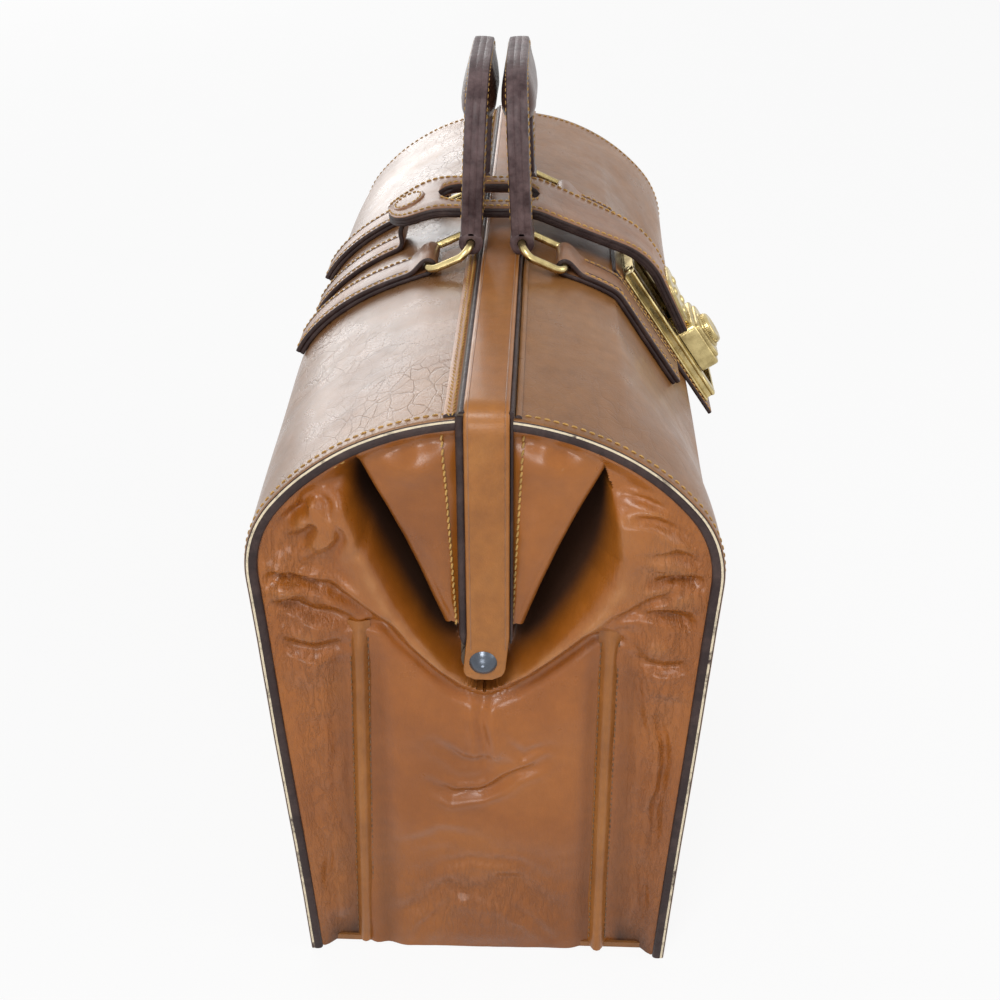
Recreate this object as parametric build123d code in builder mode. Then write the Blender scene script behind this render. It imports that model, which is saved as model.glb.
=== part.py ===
from build123d import *
import os
from math import asin, atan2, cos, degrees, hypot, radians, sin, sqrt

# A leather frame bag of the doctor's or Gladstone kind, in millimetres.
# X runs along the bag, the front with its lock faces -Y, +Z is up and the bag stands on z = 0.
# The two halves of the mouth turn about a rivet at each end, on the line y = 0, z = rivet_height.
# Angles in the end view are measured at the rivet, from straight up, outwards to the front or back.
FRONT, BACK = -1, 1
LEFT, RIGHT = -1, 1
HALVES = (("front", FRONT), ("back", BACK))
ENDS = (("left", LEFT), ("right", RIGHT))

# Bag body
bag_length = 416.0
base_half_depth = 82.0
shoulder_half_depth = 94.0
crown = 14.0
shoulder_radius = 50.0
rivet_height = 172.0
panel_thickness = 3.0
split_angle = 30.0
lower_angle = 70.0
flat_half_length = 62.0
flat_rise = 0.4

# Base and lining
base_thickness = 3.0
board_thickness = 2.5
board_clearance = 1.0
board_corner = 8.0
lining_thickness = 0.8
lining_gap = 0.2
lining_setback_angle = 1.0

# Ends
gusset_recess = 6.0
gusset_thickness = 1.6
gusset_dip = 12.0
gusset_dip_half = 15.0
gusset_drop = 1.0
tongue_half_width = 9.0
tongue_rise = 10.0
flap_start = 12.0
flap_foot = 7.0
flap_angle = 29.0
flap_gap = 0.5
fold_gap = 6.0
fold_inset = 1.0
fold_sag = 1.5
fold_rise = 10.0
fold_low_angle = 67.0
fold_high_angle = 34.0
rib_width = 5.0
rib_stand = 4.5
rib_offset = 53.0
rib_height = 175.0
rib_round = 2.1
welt_thickness = 2.0

# Frame
frame_gap = 0.75
frame_width = 8.25
frame_below = 4.0
frame_above = 2.2
leg_thickness = 3.0
leg_proud = 1.2
leg_start = 16.0
eye_radius = 9.0
eye_thickness = 1.4
eye_gap = 0.2
cover_width = 17.0
cover_offset = -2.0
cover_thickness = 2.6
cover_gap = 0.4
cover_bend = 9.0
cover_inner_bend = 0.3
cover_end_radius = 8.5
hem_width = 11.0
hem_thickness = 1.5
hem_end_width = 6.5
hem_end_round = 3.05
surface_gap = 0.15

# Hinge rivets
pin_radius = 2.5
pin_clearance = 0.05
rivet_head_radius = 5.6
rivet_head_height = 3.0
rivet_foot_radius = 4.5
rivet_foot_height = 1.4
spacer_radius = 6.0

# Tabs, rings and handles
ring_to_strap = 4.0
tab_width = 23.0
tab_thickness = 4.2
tab_angle = 16.0
back_tab_end = 55.0
loop_radius = 4.7
ring_wire_radius = 1.65
ring_clearance = 0.35
ring_length = 22.0
ring_corner = 3.5
ring_slope = 27.8
handle_width = 18.0
handle_thickness = 9.5
handle_rise = 66.0
handle_bend = 28.0
handle_eye_radius = 5.5
handle_lean = 2.6
grip_half_length = 32.0
grip_thickness = 16.4
grip_height = 30.0
grip_above = 10.4
grip_round = 7.0
grip_end_round = 3.0

# Closing strap
strap_half_width = 28.0
strap_thickness = 5.0
strap_over_top = 12.0
strap_back_end = 50.0
strap_back_round = 25.2
strap_front_turn = -16.0
strap_turn_margin = 1.0
slot_half_width = 14.0
slot_back = 28.0
slot_front = -20.0
slot_round = 7.0
strap_joint_depth = 49.0
strap_joint_gap = 0.4
strap_tilt = 6.0
strap_end = 2.0
anchor_width = 22.0
anchor_thickness = 2.4
anchor_lap = 3.2
anchor_turn = 3.6

# Lock
backing_half_width = 24.0
backing_thickness = 2.0
backing_past_rail = 6.0
rail_half_width = 22.0
rail_upper_end = -40.0
rail_lower_end = 39.0
rail_plate = 1.3
rail_height = 6.0
rail_wall = 1.2
rail_wall_inset = 3.5
rail_lip_inner = 13.0
rail_lip_outer = 20.5
rail_lip_height = 2.2
rail_lip_round = 1.05
rail_seat_gap = 0.2
rail_cap = 1.6
rail_rivet_radius = 2.4
rail_rivet_head = 0.6
rail_rivet_margin = 8.0
rail_rivet_offset = 7.8
lock_gap = 0.3
lock_stand = 0.4
lock_length = 26.0
lock_half_width = 16.0
lock_height = 10.5
lock_round = 3.0
lock_edge_round = 1.2
slider_half_width = 12.0
slider_depth = 4.3
slider_margin = 2.0
button_radius = 8.0
button_clearance = 0.3
button_height = 6.5
button_proud = 4.0
button_travel = 2.0
button_round = 1.5
end_plate_length = 26.0
end_plate_half_width = 14.0
end_plate_thickness = 1.5
end_plate_round = 6.3
end_rivet_radius = 2.6
end_rivet_height = 1.2
end_rivet_taper = 25.0
end_rivet_offset = 7.0
end_rivet_setback = 18.2

# Sizes that follow from the ones above
half_length = bag_length / 2
top_radius = shoulder_half_depth + crown
bag_top = rivet_height + top_radius
end_face = half_length - gusset_recess
inner_half_length = end_face - gusset_thickness - board_clearance
floor_top = base_thickness + board_thickness
frame_outer = frame_gap + frame_width
hem_start_angle = degrees(asin((frame_outer + surface_gap) / (top_radius - panel_thickness)))
hem_end_angle = hem_start_angle + degrees(hem_width / 2 / top_radius)
lining_start_angle = hem_start_angle + lining_setback_angle
leg_face = half_length + leg_proud
cover_face = leg_face + cover_gap + cover_thickness
cover_under = bag_top + frame_above + cover_gap
cover_top = cover_under + cover_thickness
ring_half_width = tab_width / 2 + ring_corner
handle_half_span = strap_half_width + ring_to_strap + ring_half_width
loop_distance = top_radius + surface_gap + loop_radius
rail_seat = surface_gap + flat_rise + backing_thickness + rail_seat_gap
rail_top = rail_seat + rail_height
rail_length = rail_lower_end - rail_upper_end

# The shoulder's arc touches the top arc inside and reaches the full half depth.
shoulder_centre = (
    shoulder_half_depth - shoulder_radius,
    rivet_height + sqrt((top_radius - shoulder_radius) ** 2 - (shoulder_half_depth - shoulder_radius) ** 2),
)
wall_reach = hypot(shoulder_centre[0] - base_half_depth, shoulder_centre[1])
wall_angle = atan2(shoulder_centre[1], shoulder_centre[0] - base_half_depth) - asin(shoulder_radius / wall_reach)


def at_angle(side, radius, angle):
    """End-view point (y, z) at a radius from the rivet and an angle from straight up."""
    return side * radius * sin(radians(angle)), rivet_height + radius * cos(radians(angle))


def shoulder_distance(angle, inset):
    """Distance from the rivet to the bag's outline, on the shoulder's arc, at an angle."""
    rise = shoulder_centre[1] - rivet_height
    along = shoulder_centre[0] * sin(radians(angle)) + rise * cos(radians(angle))
    gap = shoulder_centre[0] ** 2 + rise ** 2 - (shoulder_radius - inset) ** 2
    return along + sqrt(along ** 2 - gap)


def half_outline(side, inset, floor):
    """Face of one side of the bag's end view, drawn inward by inset, above the floor."""
    radius = top_radius - inset
    corner = shoulder_radius - inset
    rise = shoulder_centre[1] - rivet_height
    top_share = radius / (top_radius - shoulder_radius)
    low_point = (
        shoulder_centre[0] + corner * sin(wall_angle),
        shoulder_centre[1] - corner * cos(wall_angle),
    )
    high_point = (shoulder_centre[0] * top_share, rivet_height + rise * top_share)
    middle = (wall_angle - radians(90) + atan2(rise, shoulder_centre[0])) / 2
    mid_point = (shoulder_centre[0] + corner * cos(middle), shoulder_centre[1] + corner * sin(middle))
    top_middle = degrees(atan2(shoulder_centre[0], rise)) / 2
    foot = low_point[0] - (low_point[1] - floor) / sin(wall_angle) * cos(wall_angle)
    with BuildSketch() as face:
        with BuildLine():
            Polyline(
                (0, rivet_height + radius),
                (0, floor),
                (side * foot, floor),
                (side * low_point[0], low_point[1]),
            )
            ThreePointArc(
                (side * low_point[0], low_point[1]),
                (side * mid_point[0], mid_point[1]),
                (side * high_point[0], high_point[1]),
            )
            ThreePointArc(
                (side * high_point[0], high_point[1]),
                at_angle(side, radius, top_middle),
                (0, rivet_height + radius),
            )
        make_face()
    return face.sketch


def wedge(side, low, high):
    """Face between two angles at the rivet, larger than the bag."""
    reach = 3 * top_radius
    with BuildSketch() as face:
        with BuildLine():
            Polyline(
                (0, rivet_height),
                at_angle(side, reach, low),
                at_angle(side, reach, (low + high) / 2),
                at_angle(side, reach, high),
                close=True,
            )
        make_face()
    return face.sketch


def band(side, outer, inner, low, high, floor=0.0, inner_floor=None):
    """Strip of the end view between two insets and two angles, open at the floor unless told."""
    with BuildSketch() as strip:
        add(half_outline(side, outer, floor))
        add(half_outline(side, inner, floor - 1 if inner_floor is None else inner_floor), mode=Mode.SUBTRACT)
        add(wedge(side, low, high), mode=Mode.INTERSECT)
    return strip.sketch


# The flat of the front panel, which the lock pulls in, runs from the split to the lower angle.
flat_start = at_angle(1, top_radius, split_angle)
flat_end = at_angle(1, shoulder_distance(lower_angle, 0), lower_angle)
flat_slope = atan2(flat_start[1] - flat_end[1], flat_end[0] - flat_start[0])
flat_distance = flat_start[0] * sin(flat_slope) + (flat_start[1] - rivet_height) * cos(flat_slope)


def on_flat(stand, along):
    """Front end-view point at a height over the flat's plane and a distance down along it."""
    distance = flat_distance + stand
    return (
        -(distance * sin(flat_slope) + along * cos(flat_slope)),
        rivet_height + distance * cos(flat_slope) - along * sin(flat_slope),
    )


def flat_plane(stand, along):
    """Plane whose normal leaves the flat, with X along the bag and Y up along the flat."""
    y, z = on_flat(stand, along)
    return Plane(origin=(0, y, z), x_dir=(1, 0, 0), z_dir=(0, -sin(flat_slope), cos(flat_slope)))


def front_section(bulge, outer, inner):
    """Front shoulder's section: its outer side bulges from straight to the full round."""
    low = lower_angle
    corners = {
        inset: (at_angle(FRONT, top_radius - inset, split_angle), at_angle(FRONT, shoulder_distance(low, inset), low))
        for inset in (outer, inner)
    }
    full = top_radius * (1 - cos(radians(low - split_angle) / 2))
    rise = flat_rise + bulge * (full - flat_rise)
    with BuildSketch() as face:
        with BuildLine():
            for inset in (outer, inner):
                start, end = corners[inset]
                middle = ((start[0] + end[0]) / 2, (start[1] + end[1]) / 2)
                ThreePointArc(
                    start,
                    (middle[0] - rise * sin(flat_slope), middle[1] + rise * cos(flat_slope)),
                    end,
                )
            Line(corners[outer][0], corners[inner][0])
            Line(corners[outer][1], corners[inner][1])
        make_face()
    return face.sketch


def ring_ends(side):
    """End-view points of a ring's bar, in its tab's loop, and of its top, in the handle's eye."""
    bar = at_angle(side, loop_distance, tab_angle)
    eye = (
        bar[0] - side * ring_length * cos(radians(ring_slope)),
        bar[1] + ring_length * sin(radians(ring_slope)),
    )
    return bar, eye


def save(piece, label):
    """Name a finished piece and write it."""
    piece.part.label = label
    export_step(piece.part, f"parts/{label}.step")


os.makedirs("parts", exist_ok=True)

# Base: the leather panel that the bag stands on and the stiff board over it
with BuildPart() as base_panel:
    with BuildSketch(Plane.YZ.offset(-end_face)):
        for name, side in HALVES:
            add(half_outline(side, panel_thickness, 0))
        with Locations((0, base_thickness)):
            Rectangle(4 * half_length, 4 * bag_top, align=(Align.CENTER, Align.MIN), mode=Mode.SUBTRACT)
    extrude(amount=2 * end_face)
save(base_panel, "base_panel")

board_half_depth = base_half_depth - panel_thickness - board_clearance
with BuildPart() as base_board:
    with BuildSketch(Plane.XY.offset(base_thickness)):
        Rectangle(2 * inner_half_length, 2 * board_half_depth)
    extrude(amount=board_thickness)
    fillet(base_board.edges().filter_by(Axis.Z), board_corner)
save(base_board, "base_board")

# Lining of the lower bag, from the board up to the fold
with BuildPart() as lining:
    lining_inset = panel_thickness + lining_gap
    with BuildSketch(Plane.YZ.offset(-inner_half_length)):
        for name, side in HALVES:
            add(
                band(
                    side,
                    lining_inset,
                    lining_inset + lining_thickness,
                    lower_angle,
                    180,
                    floor_top,
                    floor_top + lining_thickness,
                )
            )
    extrude(amount=2 * inner_half_length)
save(lining, "lining_lower")

# Panels, each in a lower part that stands still, a shoulder that bends and an upper part on its frame
for name, side in HALVES:
    with BuildPart() as panel_lower:
        with BuildSketch(Plane.YZ.offset(-half_length)):
            add(band(side, 0, panel_thickness, lower_angle, 180))
        extrude(amount=bag_length)
    save(panel_lower, f"{name}_panel_lower")

    with BuildPart() as panel_upper:
        with BuildSketch(Plane.YZ.offset(-half_length)):
            add(band(side, 0, panel_thickness, hem_start_angle, split_angle))
        extrude(amount=bag_length)
    save(panel_upper, f"{name}_panel_upper")

    with BuildPart() as lining_upper:
        with BuildSketch(Plane.YZ.offset(-inner_half_length)):
            inset = panel_thickness + surface_gap
            add(band(side, inset, inset + lining_thickness, lining_start_angle, split_angle))
        extrude(amount=2 * inner_half_length)
    save(lining_upper, f"{name}_lining_upper")

    with BuildPart() as hem:
        with BuildSketch(Plane.YZ.offset(-half_length)):
            add(band(side, -surface_gap - hem_thickness, -surface_gap, hem_start_angle, hem_end_angle))
        extrude(amount=bag_length)
        for end in (LEFT, RIGHT):
            hem_low = rivet_height + flap_start
            hem_high = bag_top - frame_below - panel_thickness - cover_bend
            hem_side = frame_outer + 2 * surface_gap
            with BuildSketch(Plane.YZ.offset(end * end_face)):
                with Locations((side * (hem_side + hem_end_width / 2), (hem_low + hem_high) / 2)):
                    RectangleRounded(hem_end_width, hem_high - hem_low, hem_end_round)
            extrude(amount=end * hem_thickness)
    save(hem, f"{name}_hem")

with BuildPart() as back_shoulder:
    with BuildSketch(Plane.YZ.offset(-half_length)):
        add(band(BACK, 0, panel_thickness, split_angle, lower_angle))
    extrude(amount=bag_length)
save(back_shoulder, "back_shoulder")

with BuildPart() as front_shoulder:
    for station, bulge in (
        (-half_length, 1),
        (-flat_half_length, 0),
        (flat_half_length, 0),
        (half_length, 1),
    ):
        with BuildSketch(Plane.YZ.offset(station)):
            add(front_section(bulge, 0, panel_thickness))
    loft(ruled=True)
save(front_shoulder, "front_shoulder")

# End gussets: the standing part carries the rivet on a tongue, between two folds and two flaps
for name, end in ENDS:
    with BuildPart() as gusset:
        with BuildSketch(Plane.YZ.offset(end * (end_face - gusset_thickness))):
            for half, side in HALVES:
                add(half_outline(side, panel_thickness + surface_gap, base_thickness))
            wall_top = at_angle(1, shoulder_distance(lower_angle, 0), lower_angle)
            with BuildLine():
                Polyline(
                    (-wall_top[0], wall_top[1] - gusset_drop),
                    (-gusset_dip_half, rivet_height - gusset_dip),
                    (-tongue_half_width, rivet_height - gusset_dip),
                    (-tongue_half_width, rivet_height + tongue_rise),
                    (tongue_half_width, rivet_height + tongue_rise),
                    (tongue_half_width, rivet_height - gusset_dip),
                    (gusset_dip_half, rivet_height - gusset_dip),
                    (wall_top[0], wall_top[1] - gusset_drop),
                    (2 * wall_top[0], wall_top[1]),
                    (2 * wall_top[0], 2 * bag_top),
                    (-2 * wall_top[0], 2 * bag_top),
                    (-2 * wall_top[0], wall_top[1]),
                    close=True,
                )
            make_face(mode=Mode.SUBTRACT)
            with Locations((0, rivet_height)):
                Circle(pin_radius, mode=Mode.SUBTRACT)
        extrude(amount=end * gusset_thickness)
    save(gusset, f"{name}_gusset")

for name, side in HALVES:
    flap_radius = top_radius - panel_thickness - flap_gap
    with BuildPart() as flaps:
        for end in (LEFT, RIGHT):
            with BuildSketch(Plane.YZ.offset(end * (end_face - gusset_thickness))):
                with BuildLine():
                    inner_side = frame_outer + 2 * surface_gap
                    foot = rivet_height + flap_start
                    inner_top = rivet_height + sqrt(flap_radius ** 2 - inner_side ** 2)
                    outer_top = at_angle(side, flap_radius, flap_angle)
                    Polyline(
                        (side * inner_side, inner_top),
                        (side * inner_side, foot),
                        (side * (inner_side + flap_foot), foot),
                        outer_top,
                    )
                    ThreePointArc(
                        outer_top,
                        at_angle(side, flap_radius, (flap_angle + degrees(asin(inner_side / flap_radius))) / 2),
                        (side * inner_side, inner_top),
                    )
                make_face()
            extrude(amount=end * gusset_thickness)
    save(flaps, f"{name}_gusset_flaps")

    with BuildPart() as folds:
        for end in (LEFT, RIGHT):
            with BuildSketch(Plane.YZ.offset(end * (end_face - gusset_thickness))):
                with BuildLine():
                    fold_radius = shoulder_distance(lower_angle, 0) - panel_thickness - fold_inset
                    fold_low = at_angle(side, fold_radius, fold_low_angle)
                    fold_high = at_angle(side, fold_radius, fold_high_angle)
                    fold_middle = at_angle(side, fold_radius - fold_sag, (split_angle + lower_angle) / 2)
                    apex = side * (frame_outer + flap_foot + fold_gap)
                    Polyline(
                        fold_low,
                        (apex + side * fold_gap, rivet_height),
                        (apex, rivet_height + fold_rise),
                        fold_high,
                        fold_middle,
                        close=True,
                    )
                make_face()
            extrude(amount=end * gusset_thickness)
    save(folds, f"{name}_gusset_folds")

with BuildPart() as ribs:
    for end in (LEFT, RIGHT):
        for side in (FRONT, BACK):
            with BuildSketch(Plane.YZ.offset(end * end_face)):
                with Locations((side * rib_offset, base_thickness)):
                    Rectangle(rib_width, rib_height - base_thickness, align=(Align.CENTER, Align.MIN))
            extrude(amount=end * rib_stand)
    outer_edges = ribs.faces().filter_by(Axis.X).sort_by(Axis.X)
    fillet((outer_edges[:2] + outer_edges[-2:]).edges().filter_by(Axis.Z), rib_round)
save(ribs, "gusset_ribs")

# Welts: the gusset's seam allowance, sewn under the panels' end edges
with BuildPart() as welts_lower:
    for end in (LEFT, RIGHT):
        for side in (FRONT, BACK):
            with BuildSketch(Plane.YZ.offset(end * end_face)):
                inset = panel_thickness + surface_gap
                add(band(side, inset, inset + welt_thickness, lower_angle, 180, base_thickness))
            extrude(amount=end * gusset_recess)
save(welts_lower, "end_welts_lower")

welt_bulge = (end_face - flat_half_length) / (half_length - flat_half_length)
with BuildPart() as welts_shoulder:
    for end in (LEFT, RIGHT):
        for side in (FRONT, BACK):
            with BuildSketch(Plane.YZ.offset(end * end_face)):
                inset = panel_thickness + 3 * surface_gap
                if side == FRONT:
                    add(front_section(welt_bulge, inset, inset + welt_thickness))
                else:
                    add(band(side, inset, inset + welt_thickness, split_angle, lower_angle))
            extrude(amount=end * gusset_recess)
save(welts_shoulder, "end_welts_shoulder")

for name, side in HALVES:
    with BuildPart() as welts_upper:
        for end in (LEFT, RIGHT):
            with BuildSketch(Plane.YZ.offset(end * end_face)):
                inset = panel_thickness + surface_gap
                add(band(side, inset, inset + welt_thickness, lining_start_angle, split_angle))
            extrude(amount=end * gusset_recess)
    save(welts_upper, f"{name}_welts_upper")

# Steel frame halves: a bar over the mouth, a leg at each end and an eye on the rivet
for name, side in HALVES:
    if side == FRONT:
        eye_outer = leg_face
    else:
        eye_outer = leg_face - eye_thickness - eye_gap
    with BuildPart() as frame:
        with BuildSketch(Plane.XZ.offset(-side * frame_gap)):
            top = bag_top + frame_above
            with BuildLine():
                Polyline(
                    (-leg_face, rivet_height + leg_start),
                    (-leg_face, top),
                    (leg_face, top),
                    (leg_face, rivet_height + leg_start),
                    (leg_face - leg_thickness, rivet_height + leg_start),
                    (leg_face - leg_thickness, bag_top - frame_below),
                    (-leg_face + leg_thickness, bag_top - frame_below),
                    (-leg_face + leg_thickness, rivet_height + leg_start),
                    close=True,
                )
            make_face()
        extrude(amount=-side * frame_width)
        for end in (LEFT, RIGHT):
            with BuildSketch(Plane.YZ.offset(end * (eye_outer - eye_thickness))):
                with Locations((0, rivet_height)):
                    Circle(eye_radius)
                with BuildLine():
                    Polyline(
                        (side * frame_gap, rivet_height),
                        (side * frame_gap, rivet_height + leg_start),
                        (side * frame_outer, rivet_height + leg_start),
                        (side * eye_radius, rivet_height),
                        close=True,
                    )
                make_face()
                with Locations((0, rivet_height)):
                    Circle(pin_radius + pin_clearance, mode=Mode.SUBTRACT)
            extrude(amount=end * eye_thickness)
    save(frame, f"{name}_frame")

# Leather cover over both frame halves, carried by the front one, down to the rivets
cover_front = cover_offset - cover_width / 2
cover_back = cover_offset + cover_width / 2
with BuildPart() as cover:
    with BuildSketch(Plane.XZ.offset(-cover_back)):
        cover_foot = rivet_height + eye_radius
        with BuildLine():
            FilletPolyline(
                (-cover_face, cover_foot),
                (-cover_face, cover_top),
                (cover_face, cover_top),
                (cover_face, cover_foot),
                radius=cover_bend,
            )
            Line((cover_face, cover_foot), (cover_face - cover_thickness, cover_foot))
            FilletPolyline(
                (cover_face - cover_thickness, cover_foot),
                (cover_face - cover_thickness, cover_under),
                (-cover_face + cover_thickness, cover_under),
                (-cover_face + cover_thickness, cover_foot),
                radius=cover_inner_bend,
            )
            Line((-cover_face + cover_thickness, cover_foot), (-cover_face, cover_foot))
        make_face()
    extrude(amount=cover_width)
    for end in (LEFT, RIGHT):
        with BuildSketch(Plane.YZ.offset(end * (cover_face - cover_thickness))):
            with Locations((0, rivet_height)):
                Circle(cover_end_radius)
            with BuildLine():
                Polyline(
                    (-cover_end_radius, rivet_height),
                    (cover_front, cover_foot),
                    (cover_back, cover_foot),
                    (cover_end_radius, rivet_height),
                    close=True,
                )
            make_face()
            with Locations((0, rivet_height)):
                Circle(pin_radius + pin_clearance, mode=Mode.SUBTRACT)
        extrude(amount=end * cover_thickness)
save(cover, "frame_cover")

# Hinge rivets through the gusset's tongue, both frame eyes and the cover, with leather spacers
with BuildPart() as rivets:
    for end in (LEFT, RIGHT):
        foot_face = end_face - gusset_thickness
        head_face = cover_face + eye_gap / 2
        with BuildSketch(Plane.YZ.offset(end * foot_face)):
            with Locations((0, rivet_height)):
                Circle(pin_radius)
        extrude(amount=end * (head_face - foot_face))
        with BuildSketch(Plane.YZ.offset(end * foot_face)):
            with Locations((0, rivet_height)):
                Circle(rivet_foot_radius)
        extrude(amount=-end * rivet_foot_height)
        with BuildSketch(Plane(origin=(end * head_face, 0, rivet_height), x_dir=(0, 1, 0), z_dir=(0, 0, 1))):
            dome_radius = (rivet_head_radius ** 2 + rivet_head_height ** 2) / (2 * rivet_head_height)
            dome_middle = asin(rivet_head_radius / dome_radius) / 2
            dome_back = rivet_head_height - dome_radius
            with BuildLine():
                Polyline((0, -end * rivet_head_height), (0, 0), (rivet_head_radius, 0))
                ThreePointArc(
                    (rivet_head_radius, 0),
                    (dome_radius * sin(dome_middle), -end * (dome_back + dome_radius * cos(dome_middle))),
                    (0, -end * rivet_head_height),
                )
            make_face()
        revolve(axis=Axis((0, 0, rivet_height), (1, 0, 0)))
save(rivets, "hinge_rivets")

with BuildPart() as spacers:
    for end in (LEFT, RIGHT):
        with BuildSketch(Plane.YZ.offset(end * end_face)):
            with Locations((0, rivet_height)):
                Circle(spacer_radius)
                Circle(pin_radius, mode=Mode.SUBTRACT)
        extrude(amount=end * (leg_face - 2 * eye_thickness - 2 * eye_gap - end_face))
save(spacers, "hinge_spacers")

# Ring tabs: a strap looped over the ring's lower bar and sewn down the panel
tab_inner = -surface_gap
tab_outer = -surface_gap - tab_thickness
for name, side in HALVES:
    for end_name, end in ENDS:
        with BuildPart() as tab:
            with BuildSketch(Plane.YZ.offset(end * handle_half_span - tab_width / 2)):
                loop_centre = at_angle(side, loop_distance, tab_angle)
                add(band(side, tab_outer, tab_inner, tab_angle, split_angle))
                with Locations(loop_centre):
                    Circle(loop_radius)
                    Circle(ring_wire_radius + ring_clearance, mode=Mode.SUBTRACT)
            extrude(amount=tab_width)
        save(tab, f"{name}_tab_{end_name}")

# Tab tails on the bending shoulders
with BuildPart() as back_tails:
    for end in (LEFT, RIGHT):
        with BuildSketch(Plane.YZ.offset(end * handle_half_span - tab_width / 2)):
            add(band(BACK, tab_outer, tab_inner, split_angle, back_tab_end))
        extrude(amount=tab_width)
save(back_tails, "back_tab_tails")

tail_from = surface_gap - top_radius * sin(flat_slope - radians(split_angle))
tail_to = shoulder_distance(lower_angle, 0) * sin(radians(lower_angle) - flat_slope)
with BuildPart() as front_tails:
    for end in (LEFT, RIGHT):
        with BuildSketch(Plane.YZ.offset(end * handle_half_span - tab_width / 2)):
            with BuildLine():
                Polyline(
                    on_flat(flat_rise + surface_gap, tail_from),
                    on_flat(flat_rise + surface_gap + tab_thickness, tail_from),
                    on_flat(flat_rise + surface_gap + tab_thickness, tail_to),
                    on_flat(flat_rise + surface_gap, tail_to),
                    close=True,
                )
            make_face()
        extrude(amount=tab_width)
save(front_tails, "front_tab_tails")

# Rings: each lies from its tab's loop up to the handle's eye
for name, side in HALVES:
    for end_name, end in ENDS:
        bar, eye = ring_ends(side)
        ring_plane = Plane(
            origin=(end * handle_half_span, *bar),
            x_dir=(1, 0, 0),
            z_dir=(0, side * sin(radians(ring_slope)), cos(radians(ring_slope))),
        )
        with BuildPart() as ring:
            with BuildLine(ring_plane) as ring_path:
                FilletPolyline(
                    (0, 0),
                    (ring_half_width, 0),
                    (ring_half_width, -side * ring_length),
                    (0, -side * ring_length),
                    radius=ring_corner,
                )
            with BuildSketch(Plane(origin=ring_path.wire() @ 0, z_dir=ring_path.wire() % 0)):
                Circle(ring_wire_radius)
            sweep(path=ring_path.wire())
            mirror(about=Plane.YZ.offset(end * handle_half_span))
        save(ring, f"{name}_ring_{end_name}")

# Handles: a laminated leather arch with an eye round each ring, and a padded grip on top
for name, side in HALVES:
    bar, eye = ring_ends(side)
    up = Vector(0, -side * sin(radians(handle_lean)), cos(radians(handle_lean)))
    arch_plane = Plane(origin=(0, *eye), x_dir=(1, 0, 0), z_dir=Vector(1, 0, 0).cross(up))
    with BuildPart() as handle:
        with BuildSketch(arch_plane):
            with BuildLine():
                FilletPolyline(
                    (-handle_half_span, 0),
                    (-handle_half_span, handle_rise),
                    (handle_half_span, handle_rise),
                    (handle_half_span, 0),
                    radius=handle_bend,
                )
            trace(line_width=handle_width)
        extrude(amount=handle_thickness / 2, both=True)
        for end in (LEFT, RIGHT):
            with BuildSketch(Plane.YZ.offset(end * handle_half_span - handle_width / 2)):
                with Locations(eye):
                    Circle(handle_eye_radius)
            extrude(amount=handle_width)
        with BuildSketch(Plane.YZ.offset(-handle_half_span - handle_width)):
            with Locations(eye):
                Circle(ring_wire_radius + ring_clearance)
        extrude(amount=2 * handle_half_span + 2 * handle_width, mode=Mode.SUBTRACT)
    save(handle, f"{name}_handle")

    with BuildPart() as grip:
        grip_centre = Vector(-grip_half_length, *eye) + up * (handle_rise + grip_above - grip_height / 2)
        with BuildSketch(Plane(origin=grip_centre, x_dir=up.cross(Vector(1, 0, 0)), z_dir=(1, 0, 0))):
            RectangleRounded(grip_thickness, grip_height, grip_round)
        extrude(amount=2 * grip_half_length)
        fillet(grip.faces().filter_by(Axis.X).edges(), grip_end_round)
        add(handle.part, mode=Mode.SUBTRACT)
    save(grip, f"{name}_grip")

# Closing strap: a slotted rear part over the mouth, on the back half, up to the strap's joint
strap_under = bag_top + strap_over_top
joint_turn = on_flat(rail_top + lock_gap + strap_tilt, rail_upper_end - strap_turn_margin)
joint_share = (-strap_joint_depth - strap_front_turn) / (joint_turn[0] - strap_front_turn)
joint_under = (-strap_joint_depth, strap_under + joint_share * (joint_turn[1] - strap_under))
slope = atan2(strap_under - joint_turn[1], strap_front_turn - joint_turn[0])
strap_normal = (-sin(slope), cos(slope))
strap_down = (-cos(slope), -sin(slope))


def off_joint(stand, along):
    """End-view point at a height over the strap's underside and a distance past its joint."""
    return (
        joint_under[0] + stand * strap_normal[0] + along * strap_down[0],
        joint_under[1] + stand * strap_normal[1] + along * strap_down[1],
    )


top_turn = (
    strap_front_turn - strap_thickness * sin(slope / 2) / cos(slope / 2),
    strap_under + strap_thickness,
)
with BuildPart() as strap_rear:
    with BuildSketch(Plane.YZ.offset(-strap_half_width)):
        with BuildLine():
            Polyline(
                (strap_back_end, strap_under),
                (strap_front_turn, strap_under),
                off_joint(0, -strap_joint_gap / 2),
                off_joint(strap_thickness, -strap_joint_gap / 2),
                top_turn,
                (strap_back_end, strap_under + strap_thickness),
                close=True,
            )
        make_face()
    extrude(amount=2 * strap_half_width)
    with BuildSketch(Plane.XY.offset(strap_under)):
        with Locations((0, (slot_back + slot_front) / 2)):
            RectangleRounded(2 * slot_half_width, slot_back - slot_front, slot_round)
    extrude(amount=2 * strap_thickness, both=True, mode=Mode.SUBTRACT)
    back_edges = strap_rear.edges().filter_by(Axis.Z).group_by(Axis.Y)[-1]
    fillet(back_edges, strap_back_round)
save(strap_rear, "strap_rear")

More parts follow.
